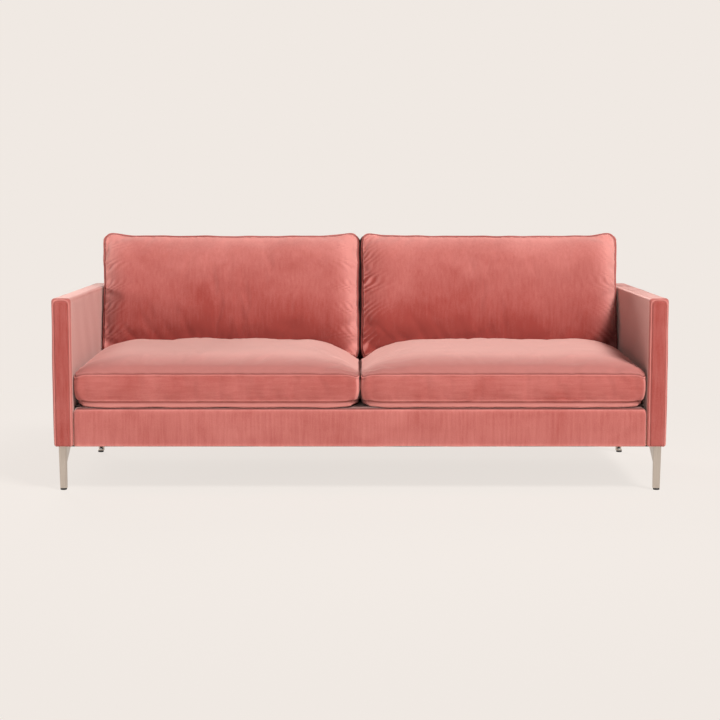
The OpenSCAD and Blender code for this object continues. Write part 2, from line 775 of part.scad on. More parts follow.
// A closed cushion: top and under give each panel's height over its grid
module cushion(xs, ys, half, depth, r_low, r_high, draw, bulge, zip_end, top, under, inset) {
    nx = len(xs);
    ny = len(ys);
    kx = (half - inset) / half;
    ky = (depth - 2 * inset) / depth;
    plan = function(i, j) let(
        p = drawn_in(rounded(xs[i] - half, ys[j], half, depth, r_low, r_high), half, depth, draw, zip_end)
    ) [p.x * kx, inset + p.y * ky];
    ring_n = 2 * (nx + ny - 2);
    points = concat(
        [for (i = [0:nx - 1], j = [0:ny - 1]) let(p = plan(i, j)) [p.x, p.y, top(i, j) - inset]],
        [for (i = [0:nx - 1], j = [0:ny - 1]) let(p = plan(i, j)) [p.x, p.y, under(i, j) + inset]],
        [for (k = [0:ring_n - 1]) let(
            q = ring_pair(k, nx, ny), p = plan(q.x, q.y),
            at_zip = zip_end > 0 ? q.y == ny - 1 : q.y == 0,
            out_x = q.x == 0 ? -1 : q.x == nx - 1 ? 1 : 0,
            out_y = at_zip ? 0 : q.y == 0 ? -1 : q.y == ny - 1 ? 1 : 0,
            room_x = at_zip ? 0 : 1
        ) [p.x + bulge * out_x * room_x, p.y + bulge * out_y, (top(q.x, q.y) + under(q.x, q.y)) / 2]]
    );
    polyhedron(points = points, faces = cushion_faces(nx, ny));
}

// Height of the seat's upper panel over its grid, pressed down behind by the back cushion
function seat_height(x, y, half, row) = let(
    rows = len(seat_fall_shares),
    k = row - len(corner_step_shares) - 1,
    fall = k < 0 ? 1 : k < rows ? seat_fall_shares[k] : 0,
    sink = seat_sink * (1 - fall),
    raised = swell(half - abs(x), seat_reach) * swell(y, seat_reach) * fall
) seat_low_seam + seat_boxing_h - sink + seat_crown * raised;

// One seat cushion's closed form, drawn in by an inset
module seat_form(inset) {
    half = seat_w / 2;
    xs = grid_lines(seat_w, seat_corner_r, seat_corner_r, column_shares * seat_w);
    ys = grid_lines(seat_d, seat_corner_r, seat_rear_r, seat_rows);
    top = function(i, j) seat_height(xs[i] - half, ys[j], half, j);
    under = function(i, j) seat_low_seam * (1 - swell(min(half - abs(xs[i] - half), ys[j], seat_d - ys[j]),
                                                      seat_corner_r));
    translate([middle_gap / 2 + half, seat_y, seat_z])
        cushion(xs, ys, half, seat_d, seat_corner_r, seat_rear_r, seat_draw, seat_bulge, 1, top, under, inset);
}

module seat_cover(side) {
    color(velvet) at_side(side) difference() {
        seat_form(0);
        seat_form(cover_t);
    }
}

// The foam core is glued up from a crowned front block and a lower rear block under the back cushion
module seat_core(side) {
    color(foam) at_side(side) difference() {
        seat_form(cover_t + core_gap);
        block([-overrun, seat_y + back_touch, seat_z - overrun],
              [inner_x, seat_y + back_touch + glue_line, frame_h]);
    }
}

// Stands a back cushion drawn lying on its rear face up against the back panel
module stood_up() {
    translate([middle_gap / 2 + seat_w / 2, back_low_y, back_low_z]) rotate([90 - back_lean, 0, 0]) children();
}

// One back cushion's closed form, lying on its rear face with its lower edge at y = 0
module back_cushion_form(inset) {
    half = seat_w / 2;
    xs = grid_lines(seat_w, back_corner_r, back_corner_r, column_shares * seat_w);
    ys = grid_lines(back_cushion_h, back_corner_r, back_corner_r, back_row_shares * back_cushion_h);
    raised = function(i, j) swell(half - abs(xs[i] - half), back_reach)
        * swell(min(ys[j], back_cushion_h - ys[j]), back_reach);
    top = function(i, j) back_rear_crown + back_boxing_w + back_front_crown * raised(i, j);
    under = function(i, j) back_rear_crown * (1 - raised(i, j));
    cushion(xs, ys, half, back_cushion_h, back_corner_r, back_corner_r, back_draw, back_bulge, -1,
            top, under, inset);
}

module back_cushion_cover(side) {
    color(velvet) at_side(side) stood_up() difference() {
        back_cushion_form(0);
        back_cushion_form(cover_t);
    }
}

module back_core(side) {
    color(foam) at_side(side) stood_up() back_cushion_form(cover_t + core_gap);
}

// A zip along X, its tape lying on the plane y = 0 and its teeth standing towards +Y
module zip_strip() {
    l = seat_w - 2 * (seat_corner_r + zip_end_gap);
    translate([-l / 2, 0, -tape_w / 2]) cube([l, tape_t, tape_w]);
    translate([-l / 2, 0, -teeth_w / 2]) cube([l, tape_t + teeth_t, teeth_w]);
}

// The slider straddles the teeth, and its pull tab hangs down from it
module zip_slider() {
    reach = teeth_w / 2 + slider_gap;
    translate([-slider_l / 2, tape_t + slider_gap, 0]) {
        difference() {
            translate([0, 0, -slider_w / 2]) cube([slider_l, slider_h, slider_w]);
            translate([-overrun, -overrun, -reach])
                cube([slider_l + 2 * overrun, teeth_t + overrun, 2 * reach]);
        }
        translate([(slider_l - tab_w) / 2, slider_h, -tab_l]) cube([tab_w, tab_t, tab_l]);
    }
}

// Where the zip of a seat cushion lies: the middle of its rear boxing
module at_seat_zip() {
    z = (seat_low_seam + seat_low_seam + seat_boxing_h - seat_sink) / 2;
    translate([middle_gap / 2 + seat_w / 2, seat_y + seat_d, seat_z + z]) children();
}

// Where the zip of a back cushion lies: on its lower boxing, towards the rear
module at_back_zip() {
    stood_up() translate([0, 0, back_rear_crown + back_boxing_w / 3]) rotate([0, 0, 180]) children();
}

module seat_zip(side) {
    color(velvet) at_side(side) at_seat_zip() zip_strip();
}

module back_zip(side) {
    color(velvet) at_side(side) at_back_zip() zip_strip();
}

// Each slider rests at the closed end of its zip
function zip_rest() = seat_w / 2 - seat_corner_r - zip_end_gap - slider_l;

module seat_zip_pull(side) {
    color(steel) at_side(side) at_seat_zip() translate([zip_rest(), 0, 0]) zip_slider();
}

module back_zip_pull(side) {
    color(steel) at_side(side) at_back_zip() translate([-zip_rest(), 0, 0]) zip_slider();
}

base_front_rail();
base_rear_rail();
base_side_rail(-1);  // base_side_rail_left
base_side_rail(1);  // base_side_rail_right
base_centre_rail();
base_corner_blocks();
seat_webbing_long();
seat_webbing_cross();
deck_pad();
deck_cover();
front_rail_foam();
front_rail_cover();
dust_cover();
arm_frame(-1);  // arm_frame_left
arm_frame(1);  // arm_frame_right
arm_foam(-1);  // arm_foam_left
arm_foam(1);  // arm_foam_right
arm_cover(-1);  // arm_cover_left
arm_cover(1);  // arm_cover_right
arm_bolts();
back_frame();
back_webbing();
back_foam();
back_cover();
back_bolts();
leg(-1, 1);  // leg_front_left
leg(1, 1);  // leg_front_right
leg(-1, -1);  // leg_rear_left
leg(1, -1);  // leg_rear_right
leg_screws();
leveller_nuts();
leveller(-1, 1);  // leveller_front_left
leveller(1, 1);  // leveller_front_right
leveller(-1, -1);  // leveller_rear_left
leveller(1, -1);  // leveller_rear_right
seat_core(-1);  // seat_core_left
seat_core(1);  // seat_core_right
seat_cover(-1);  // seat_cover_left
seat_cover(1);  // seat_cover_right
seat_zip(-1);  // seat_zip_left
seat_zip(1);  // seat_zip_right
seat_zip_pull(-1);  // seat_zip_pull_left
seat_zip_pull(1);  // seat_zip_pull_right
back_core(-1);  // back_core_left
back_core(1);  // back_core_right
back_cushion_cover(-1);  // back_cushion_cover_left
back_cushion_cover(1);  // back_cushion_cover_right
back_zip(-1);  // back_zip_left
back_zip(1);  // back_zip_right
back_zip_pull(-1);  // back_zip_pull_left
back_zip_pull(1);  // back_zip_pull_right
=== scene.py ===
"""The dressed tuxedo sofa: rose velvet over a timber frame, four loose cushions, bent steel legs.

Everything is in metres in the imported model's frame: Z is up, X runs across the width and the
front faces -Y. Each section makes one piece, or one group of like pieces, in the order in which
the sofa is put together.
"""

import math

import bpy
import numpy as np
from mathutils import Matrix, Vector


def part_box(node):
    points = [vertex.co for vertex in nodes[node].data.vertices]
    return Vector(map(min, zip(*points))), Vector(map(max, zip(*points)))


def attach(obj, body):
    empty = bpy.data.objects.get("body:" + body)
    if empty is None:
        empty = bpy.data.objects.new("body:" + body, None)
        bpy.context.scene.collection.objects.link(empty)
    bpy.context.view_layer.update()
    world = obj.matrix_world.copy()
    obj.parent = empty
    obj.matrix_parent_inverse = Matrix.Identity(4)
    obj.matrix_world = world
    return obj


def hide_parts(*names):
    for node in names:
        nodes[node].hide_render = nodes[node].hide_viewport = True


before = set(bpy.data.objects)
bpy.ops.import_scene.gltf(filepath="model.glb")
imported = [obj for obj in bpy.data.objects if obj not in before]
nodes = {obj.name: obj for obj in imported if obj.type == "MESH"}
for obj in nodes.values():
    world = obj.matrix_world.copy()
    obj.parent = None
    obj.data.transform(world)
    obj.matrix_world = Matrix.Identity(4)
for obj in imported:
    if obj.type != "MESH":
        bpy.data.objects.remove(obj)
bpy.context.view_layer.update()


# Camera: the eye of someone seated, 5.6 m in front of the arms and a little above the back cushions.
# The place, tilt and lens come from a pinhole fit to the photograph's arm, base and foot edges.

camera_place = (0.0, -6.1006, 1.0525)
camera_tilt = math.radians(5.96)
camera_lens_mm = 81.75

camera_data = bpy.data.cameras.new("studio_camera")
camera_data.sensor_width = 36.0
camera_data.lens = camera_lens_mm
camera = bpy.data.objects.new("studio_camera", camera_data)
camera.location = camera_place
camera.rotation_euler = (math.pi / 2 - camera_tilt, 0.0, 0.0)
bpy.context.scene.collection.objects.link(camera)
bpy.context.scene.camera = camera
bpy.context.scene.view_settings.view_transform = "Standard"


# Studio floor and light: a seamless warm white floor that runs out into the same warm white. The
# main soft lamp is high in front on the right, and weaker ones stand left, right, in front and behind.


def srgb(colour):
    """Turns an sRGB hex colour into the linear one that the nodes take."""
    channels = [int(colour[k:k + 2], 16) / 255 for k in (0, 2, 4)]
    return [c / 12.92 if c <= 0.04045 else ((c + 0.055) / 1.055) ** 2.4 for c in channels] + [1.0]


def add_node(tree, kind, inputs=None, links=None, **settings):
    """Adds a node with its own settings, the values of its sockets and the sockets that feed it."""
    node = tree.nodes.new(kind)
    for name, value in settings.items():
        setattr(node, name, value)
    for socket, value in (inputs or {}).items():
        node.inputs[socket].default_value = value
    for socket, source in (links or {}).items():
        tree.links.new(source, node.inputs[socket])
    return node


def new_mesh(name, points, faces):
    """Links a smooth-shaded mesh object made from points and the faces that join them."""
    mesh = bpy.data.meshes.new(name)
    mesh.from_pydata(np.asarray(points).tolist(), [], [list(map(int, face)) for face in faces])
    mesh.shade_smooth()
    piece = bpy.data.objects.new(name, mesh)
    bpy.context.scene.collection.objects.link(piece)
    return piece


def seen_by(tree, *rays):
    """Gives 1 to the kinds of ray that are named, and 0 to the others."""
    path = add_node(tree, "ShaderNodeLightPath")
    seen = path.outputs[rays[0]]
    for ray in rays[1:]:
        seen = add_node(tree, "ShaderNodeMath", operation="MAXIMUM",
                        links={0: seen, 1: path.outputs[ray]}).outputs[0]
    return seen


backdrop_colour = "f0e9e3"
floor_reach = 60.0
ambient_strength = 0.05


def studio_paper():
    """Matt background paper. The camera sees its own even colour, faded a little by the shadow."""
    material = bpy.data.materials.new("studio_paper")
    material.use_nodes = True
    tree = material.node_tree
    tree.nodes.clear()
    paper = add_node(tree, "ShaderNodeBsdfDiffuse", {"Color": srgb(backdrop_colour)})
    even = add_node(tree, "ShaderNodeEmission", {"Color": srgb(backdrop_colour), "Strength": 1.0})
    place = add_node(tree, "ShaderNodeTexCoord")
    away = add_node(tree, "ShaderNodeVectorMath", operation="LENGTH",
                    links={0: place.outputs["Object"]})
    evenness = add_node(tree, "ShaderNodeMapRange",
                        {"From Min": 0.6, "From Max": 3.0, "To Min": 0.88, "To Max": 1.0},
                        {"Value": away.outputs["Value"]}, interpolation_type="SMOOTHSTEP")
    share = add_node(tree, "ShaderNodeMath", operation="MULTIPLY",
                     links={0: seen_by(tree, "Is Camera Ray", "Is Glossy Ray"),
                            1: evenness.outputs["Result"]})
    mix = add_node(tree, "ShaderNodeMixShader",
                   links={0: share.outputs[0], 1: paper.outputs[0], 2: even.outputs[0]})
    add_node(tree, "ShaderNodeOutputMaterial", links={"Surface": mix.outputs[0]})
    return material


floor_corners = [(x, y, 0.0) for x, y in ((-1, -1), (1, -1), (1, 1), (-1, 1))]
floor = new_mesh("studio_floor", np.array(floor_corners) * floor_reach, [(0, 1, 2, 3)])
floor.data.materials.append(studio_paper())

world = bpy.data.worlds.new("studio_air")
world.use_nodes = True
bpy.context.scene.world = world
air = world.node_tree
air.nodes.clear()
ambient = add_node(air, "ShaderNodeBackground",
                   {"Color": srgb("fbf7f4"), "Strength": ambient_strength})
backdrop = add_node(air, "ShaderNodeBackground", {"Color": srgb(backdrop_colour), "Strength": 1.0})
world_mix = add_node(air, "ShaderNodeMixShader",
                     links={0: seen_by(air, "Is Camera Ray", "Is Glossy Ray", "Is Transmission Ray"),
                            1: ambient.outputs[0], 2: backdrop.outputs[0]})
add_node(air, "ShaderNodeOutputWorld", links={"Surface": world_mix.outputs[0]})

# Name, place, aim, width, height and power in watts of each soft lamp
soft_lamps = [
    ("key_lamp", (5.5, -7.3, 9.6), (0.0, 0.0, 0.45), 3.6, 3.6, 1950.0),
    ("right_lamp", (6.6, -1.4, 1.7), (0.0, 0.0, 0.6), 2.4, 1.6, 24.0),
    ("left_lamp", (-6.6, -2.6, 1.9), (0.0, 0.0, 0.5), 2.4, 1.6, 165.0),
    ("front_lamp", (-0.8, -8.0, 3.2), (0.0, 0.0, 0.4), 4.2, 2.2, 78.0),
    ("rear_lamp", (-2.6, 6.4, 3.6), (0.0, 0.4, 0.5), 3.4, 2.4, 330.0),
]
for name, place, aim, width, height, power in soft_lamps:
    lamp_data = bpy.data.lights.new(name, "AREA")
    lamp_data.shape = "RECTANGLE"
    lamp_data.size = width
    lamp_data.size_y = height
    lamp_data.energy = power
    lamp = bpy.data.objects.new(name, lamp_data)
    lamp.location = place
    lamp.rotation_euler = (Vector(aim) - Vector(place)).to_track_quat("-Z", "Y").to_euler()
    bpy.context.scene.collection.objects.link(lamp)


# Timber base, arm frames and back frame: kiln-dried pine rails and blocks, and birch plywood in the
# arm and back frames, planed and left bare under the upholstery. The grain runs along each board.


def start_material(name, **values):
    """A material with one Principled shader, whose own sockets hold the values given.

    Gives it with its node tree, the shader and the socket that holds a point's place in metres.
    """
    material = bpy.data.materials.new(name)
    material.use_nodes = True
    tree = material.node_tree
    tree.nodes.clear()
    shader = add_node(tree, "ShaderNodeBsdfPrincipled",
                      {key.replace("_", " ").title().replace("Ior", "IOR"): value
                       for key, value in values.items()})
    add_node(tree, "ShaderNodeOutputMaterial", links={"Surface": shader.outputs["BSDF"]})
    place = add_node(tree, "ShaderNodeTexCoord").outputs["Object"]
    return material, tree, shader, place


def feed_shader(tree, shader, colour, gloss=None, relief=None):
    """Gives the shader a mixed colour and, where there are any, a roughness and a bump."""
    tree.links.new(colour.outputs[2], shader.inputs["Base Color"])
    if gloss:
        tree.links.new(gloss.outputs[0], shader.inputs["Roughness"])
    if relief:
        tree.links.new(relief.outputs[0], shader.inputs["Normal"])


def planed_timber(name, pale, dark, grain_mm, along):
    """Bare planed softwood or birch: fine streaks along the board, with a dry, matt surface."""
    material, tree, shader, place = start_material(name, roughness=0.62, specular_ior_level=0.35)
    across = 1000.0 / grain_mm
    # Streaks are 28 times as long as they are wide
    stretch = [across, across, across]
    stretch[along] = across / 28
    scaled = add_node(tree, "ShaderNodeMapping", {"Scale": stretch}, {"Vector": place})
    rings = add_node(tree, "ShaderNodeTexNoise", {"Scale": 1.0, "Detail": 5.0, "Roughness": 0.6},
                     {"Vector": scaled.outputs[0]})
    patches = add_node(tree, "ShaderNodeTexNoise", {"Scale": 6.0, "Detail": 2.0}, {"Vector": place})
    blend = add_node(tree, "ShaderNodeMath", operation="MULTIPLY_ADD",
                     links={0: rings.outputs["Fac"], 1: patches.outputs["Fac"],
                            2: rings.outputs["Fac"]})
    colour = add_node(tree, "ShaderNodeMix", {6: srgb(pale), 7: srgb(dark)}, {0: blend.outputs[0]},
                      data_type="RGBA")
    relief = add_node(tree, "ShaderNodeBump", {"Strength": 0.25, "Distance": 0.0006},
                      {"Height": rings.outputs["Fac"]})
    feed_shader(tree, shader, colour, None, relief)
    return material


def finish_node(name, material, bevel=0.0):
    """Gives a CAD node its material and, for a hard edge, a small bevel."""
    piece = nodes[name]
    piece.data.materials.clear()
    piece.data.materials.append(material)
    if bevel:
        edge = piece.modifiers.new("edge", "BEVEL")
        edge.width = bevel
        edge.segments = 2
        edge.limit_method = "ANGLE"
        edge.angle_limit = math.radians(40)
    return piece


arris = 0.0015
pine_across = planed_timber("pine_across", "dcb98a", "a8763f", 9.0, 0)
pine_back = planed_timber("pine_front_to_back", "dcb98a", "a8763f", 9.0, 1)
birch_ply = planed_timber("birch_plywood", "e2c9a1", "b98f5d", 7.0, 1)
for name in ("base_front_rail", "base_rear_rail"):
    finish_node(name, pine_across, arris)
for name in ("base_side_rail_left", "base_side_rail_right", "base_centre_rail", "base_corner_blocks"):
    finish_node(name, pine_back, arris)
for name in ("arm_frame_left", "arm_frame_right", "back_frame"):
    finish_node(name, birch_ply, arris)


# Bolts, screws and nuts: steel fasteners, zinc plated and passivated, so they are a cool grey with
# cloudy patches.


def grained(name, tones, grain, stretch=None, gloss=None, relief=None, **values):
    """A finish whose tone, and gloss and relief where given, all follow one grain.

    gloss is the least and the most roughness, and relief is a bump's strength and its distance.
    """
    material, tree, shader, place = start_material(name, **values)
    if stretch:
        place = add_node(tree, "ShaderNodeMapping", {"Scale": stretch}, {"Vector": place}).outputs[0]
    noise = add_node(tree, "ShaderNodeTexNoise", grain, {"Vector": place}).outputs["Fac"]
    colour = add_node(tree, "ShaderNodeMix", {6: srgb(tones[0]), 7: srgb(tones[1])}, {0: noise},
                      data_type="RGBA")
    if gloss:
        gloss = add_node(tree, "ShaderNodeMapRange", {"To Min": gloss[0], "To Max": gloss[1]},
                         {"Value": noise})
    if relief:
        relief = add_node(tree, "ShaderNodeBump", {"Strength": relief[0], "Distance": relief[1]},
                          {"Height": noise})
    feed_shader(tree, shader, colour, gloss, relief)
    return material


def zinc_plated_steel():
    """Bright zinc: a soft metal gloss, duller where the plating is thin, in patches of 4.5 mm."""
    return grained("zinc_plated_steel", ("b9bcc0", "8f9296"), {"Scale": 220.0, "Detail": 3.0},
                   gloss=(0.24, 0.48), metallic=1.0)


zinc = zinc_plated_steel()
for name in ("arm_bolts", "back_bolts", "leg_screws", "leveller_nuts"):
    finish_node(name, zinc, 0.0004)


# Webbing: elastic upholstery belts, woven from jute-coloured yarn over rubber, 70 mm wide under the
# seat and 60 mm on the back, stapled to the frames.


def woven_webbing(along):
    """Coarse yarn ribs across the belt with dark lines along it, matt and slightly hairy."""
    material, tree, shader, place = start_material("woven_webbing_%s" % "xyz"[along], roughness=0.92,
                                                   specular_ior_level=0.2)
    across = (1, 0, 0)[along]
    # Ribs 8 mm apart and lines 18 mm apart, both coarser than real ones; half of each is given here
    ribs, lines = (add_node(tree, "ShaderNodeTexWave",
                            {"Scale": 1000 / half_mm / 6.28, "Distortion": unevenness},
                            {"Vector": place}, bands_direction="XYZ"[axis])
                   for half_mm, unevenness, axis in ((4.0, 0.6, along), (9.0, 0.3, across)))
    height = add_node(tree, "ShaderNodeMath", operation="ADD",
                      links={0: ribs.outputs["Fac"], 1: lines.outputs["Fac"]})
    share = add_node(tree, "ShaderNodeMath", {1: 0.5}, {0: height.outputs[0]}, operation="MULTIPLY")
    colour = add_node(tree, "ShaderNodeMix", {6: srgb("2b2a2c"), 7: srgb("6a655d")},
                      {0: share.outputs[0]}, data_type="RGBA")
    relief = add_node(tree, "ShaderNodeBump", {"Strength": 0.6, "Distance": 0.0008},
                      {"Height": height.outputs[0]})
    feed_shader(tree, shader, colour, None, relief)
    return material


finish_node("seat_webbing_long", woven_webbing(1))
finish_node("seat_webbing_cross", woven_webbing(0))
finish_node("back_webbing", woven_webbing(2))


# Felt pad and dust cover: a grey needled felt lies over the belts, and a black non-woven cloth is
# stapled underneath.


def matted_fibre(name, pale, dark, fibre_mm):
    """Fibres pressed into a cloth: a fine fleck with no direction and no gloss."""
    return grained(name, (pale, dark), {"Scale": 1000 / fibre_mm, "Detail": 6.0, "Roughness": 0.7},
                   relief=(0.5, 0.0007), roughness=0.96, specular_ior_level=0.15)


finish_node("deck_pad", matted_fibre("needled_felt", "b9b6ae", "7c7972", 5.0))
finish_node("dust_cover", matted_fibre("non_woven_cloth", "2a2a2c", "121213", 4.0))


# Arms: each plywood frame is padded with 10 mm foam and wrapped in one length of velvet that runs
# over the top from side to side. A separate front panel is sewn in, 9 mm inside the rounded edge.


def spaced(low, high, steps, pitch):
    """Lattice lines from low to high: the given steps in from each end, then even spacing."""
    start, end = low + steps[-1], high - steps[-1]
    count = max(2, int(round((end - start) / pitch)) + 1)
    return np.concatenate([low + steps[:-1], np.linspace(start, end, count), (high - steps[:-1])[::-1]])


def lattice_skin(low, high, steps, pitches):
    """Points on the surface of a block cut by lattice lines, and the quads that join them."""
    lines = [spaced(*axis) for axis in zip(low, high, steps, pitches)]
    nx, ny, nz = (len(line) for line in lines)
    i, j, k = np.indices((nx, ny, nz))
    outside = (i % (nx - 1) == 0) | (j % (ny - 1) == 0) | (k % (nz - 1) == 0)
    index = np.full((nx, ny, nz), -1)
    index[outside] = np.arange(outside.sum())
    at = np.argwhere(outside)
    points = np.stack([lines[axis][at[:, axis]] for axis in range(3)], axis=1)
    sides = [(index[:, :, -1], 1), (index[:, :, 0], -1), (index[:, 0, :], 1),
             (index[:, -1, :], -1), (index[-1], 1), (index[0], -1)]
    quads = []
    for side, turn in sides:
        corners = [side[:-1, :-1], side[1:, :-1], side[1:, 1:], side[:-1, 1:]]
        quads.append(np.stack(corners, axis=-1).reshape(-1, 4)[:, ::turn])
    return points, np.concatenate(quads)


def soften_block(points, low, high, corner_r, top_r, bottom_r, axes=(0, 1, 2)):
    """Rounds a block's four upright edges, each by its own radius, then its top and bottom edges.

    corner_r holds the radii at (low x, low y), (high x, low y), (high x, high y), (low x, high y).
    A block that lies another way names the axes that take the places of x, y and z.
    """
    x, y, z = points[:, axes].T
    low, high = [low[axis] for axis in axes], [high[axis] for axis in axes]
    middle = [(low[axis] + high[axis]) / 2 for axis in range(3)]
    right, rear, up = x > middle[0], y > middle[1], z > middle[2]
    r = np.where(rear, np.where(right, corner_r[2], corner_r[3]),
                 np.where(right, corner_r[1], corner_r[0]))
    near_x = np.where(right, high[0] - x, x - low[0])
    near_y = np.where(rear, high[1] - y, y - low[1])
    # How far each point lies out in the square corner, past the middle of its round
    out_x, out_y = np.maximum(0, r - near_x), np.maximum(0, r - near_y)
    out = np.maximum(out_x, out_y)
    # How far it lies in the top or bottom edge, measured outwards and upwards
    edge_r = np.where(up, top_r, bottom_r)
    edge_out = np.clip(edge_r - (r - out), 0, edge_r)
    edge_up = np.clip(edge_r - np.where(up, high[2] - z, z - low[2]), 0, edge_r)
    # Drawn in by this share, the square edge becomes a quarter round
    kept = np.maximum(edge_out, edge_up) / np.maximum(np.hypot(edge_out, edge_up), 1e-9)
    kept = np.where(np.maximum(edge_out, edge_up) > 0, kept, 1.0)
    squeezed = np.where(edge_out > 0, (r - edge_r + edge_out * kept) / np.maximum(out, 1e-9), 1.0)
    turned = out / np.maximum(np.hypot(out_x, out_y), 1e-9)
    out_x, out_y = out_x * squeezed * turned, out_y * squeezed * turned
    new_x = np.where(near_x < r, np.where(right, high[0] - r + out_x, low[0] + r - out_x), x)
    new_y = np.where(near_y < r, np.where(rear, high[1] - r + out_y, low[1] + r - out_y), y)
    rise = (1 - kept) * edge_up
    rounded = np.empty_like(points)
    rounded[:, axes] = np.stack([new_x, new_y, np.where(up, z - rise, z + rise)], axis=1)
    return rounded


def keep_shade(piece, name, values):
    """Stores a number at each point for the velvet to read: a share, or a change of tone."""
    layer = piece.data.attributes.new(name, "FLOAT", "POINT")
    layer.data.foreach_set("value", np.asarray(values, np.float32))


def read_points(piece, what="co"):
    """The place of each point of the mesh, or its normal where what is "normal"."""
    flat = np.zeros(len(piece.data.vertices) * 3, np.float32)
    piece.data.vertices.foreach_get(what, flat)
    return flat.reshape(-1, 3).astype(float)


def write_points(piece, points):
    """Moves the points of the mesh to the places given."""
    piece.data.vertices.foreach_set("co", np.asarray(points, np.float32).ravel())
    piece.data.update()


def refine(piece, block):
    """Subdivides a piece once, whose points lay at the given places on their unshaped block.

    Gives each new point's place on the block, its place on the sofa and its normal.
    """
    layer = piece.data.attributes.new("block_place", "FLOAT_VECTOR", "POINT")
    layer.data.foreach_set("vector", np.asarray(block, np.float32).ravel())
    smooth = piece.modifiers.new("smooth", "SUBSURF")
    smooth.levels = 1
    graph = bpy.context.evaluated_depsgraph_get()
    made = bpy.data.meshes.new_from_object(piece.evaluated_get(graph), preserve_all_data_layers=True,
                                           depsgraph=graph)
    piece.modifiers.clear()
    old = piece.data
    piece.data = made
    bpy.data.meshes.remove(old)
    made.shade_smooth()
    flat = np.zeros(len(made.vertices) * 3, np.float32)
    made.attributes["block_place"].data.foreach_get("vector", flat)
    return flat.reshape(-1, 3).astype(float), read_points(piece), read_points(piece, "normal")


def ramp(distance, reach):
    """Rises evenly from 0 to 1 while the distance goes from 0 to the reach."""
    return np.clip(distance / reach, 0, 1)


def near(distance, width):
    """1 on a line, and almost nothing at twice the width from it."""
    return np.exp(-(distance / width) ** 2)


stitch_width = 0.0018
ridge_away = 0.0048
ridge_width = 0.0026
ridge_highlight_away = 0.0045
ridge_highlight_width = 0.0022


def seam_relief(away, groove, ridge):
    """Height of a sewn seam at a distance from its stitches: a narrow groove between soft ridges."""
    return ridge * near(np.abs(away) - ridge_away, ridge_width) - groove * near(away, stitch_width)


def seam_ridge_highlight(away):
    """Share of a painted highlight on the soft ridges beside a seam."""
    return near(np.abs(away) - ridge_highlight_away, ridge_highlight_width)


def wander(points, size, seed):
    """Smooth unevenness between about -1 and 1, with hollows and swells of about that size."""
    waves = np.random.default_rng(seed)
    total = np.zeros(len(points))
    for _ in range(7):
        direction = waves.normal(size=3)
        direction *= 2 * math.pi / size * waves.uniform(0.6, 1.5) / np.linalg.norm(direction)
        total += np.sin(points @ direction + waves.uniform(0, 2 * math.pi))
    return total / 2.6


def cotton_velvet(name, streak_axis, streaked=0.22, bloom=1.0, deep="4e1614"):
    """Rose cotton velvet: short dense pile that is deep red seen straight on and pale where the eye
    meets it at a slant, with clouds where it has been stroked and fine streaks along the nap."""
    material, tree, shader, place = start_material(name, roughness=0.86, specular_ior_level=0.12,
                                                   sheen_weight=bloom, sheen_roughness=0.42,
                                                   sheen_tint=srgb("ffd9cf"))
    # Stroked clouds about 210 mm across
    clouds = add_node(tree, "ShaderNodeTexNoise",
                      {"Scale": 1000 / 210, "Detail": 3.0, "Roughness": 0.5, "Distortion": 0.7},
                      {"Vector": place})
    # Nap streaks, repeated every 9 mm across and 120 mm along
    stretch = [1000 / 9, 1000 / 9, 1000 / 9]
    stretch[streak_axis] = 1000 / 120
    along = add_node(tree, "ShaderNodeMapping", {"Scale": stretch}, {"Vector": place})
    streaks = add_node(tree, "ShaderNodeTexNoise", {"Scale": 1.0, "Detail": 3.0, "Roughness": 0.6},
                       {"Vector": along.outputs[0]})
    # The pile is under 1 mm; it is drawn 3 mm coarse so that its fleck shows from across a room
    fleck = add_node(tree, "ShaderNodeTexNoise", {"Scale": 1000 / 3, "Detail": 2.0}, {"Vector": place})
    # Each panel was cut with its nap one way or the other, so it is a tone paler or deeper;
    # the same number also carries painted highlights and painted shade on some pieces
    tone = add_node(tree, "ShaderNodeAttribute", attribute_name="nap_tone_and_painted_light").outputs["Fac"]
    for pattern, share in ((clouds, 0.40), (streaks, streaked), (fleck, 0.18)):
        tone = add_node(tree, "ShaderNodeMath", {1: share}, {0: pattern.outputs["Fac"], 2: tone},
                        operation="MULTIPLY_ADD").outputs[0]
    # The patterns add up to between 0.19 and 0.83 on most of a panel
    nap = add_node(tree, "ShaderNodeMapRange", {"From Min": 0.19, "From Max": 0.83}, {"Value": tone})
    colour = add_node(tree, "ShaderNodeMix", {6: srgb("954039"), 7: srgb("cd837b")},
                      {0: nap.outputs[0]}, data_type="RGBA")
    # A painted sheen makes the seat tops and some cushion edges paler still. The deep colour darkens
    # the seams, where the pile is pressed in the stitches, and gives painted shade in the grooves,
    # in gaps, under the cushions and in the arm's shadow
    for attribute, shade in (("painted_sheen", "dea89f"), ("seam_and_painted_shade", deep)):
        share = add_node(tree, "ShaderNodeAttribute", attribute_name=attribute)
        colour = add_node(tree, "ShaderNodeMix", {7: srgb(shade)},
                          {0: share.outputs["Fac"], 6: colour.outputs[2]}, data_type="RGBA")
    height = add_node(tree, "ShaderNodeMath", {1: 0.5},
                      {0: streaks.outputs["Fac"], 2: fleck.outputs["Fac"]}, operation="MULTIPLY_ADD")
    relief = add_node(tree, "ShaderNodeBump", {"Strength": 0.35, "Distance": 0.0012},
                      {"Height": height.outputs[0]})
    feed_shader(tree, shader, colour, None, relief)
    return material


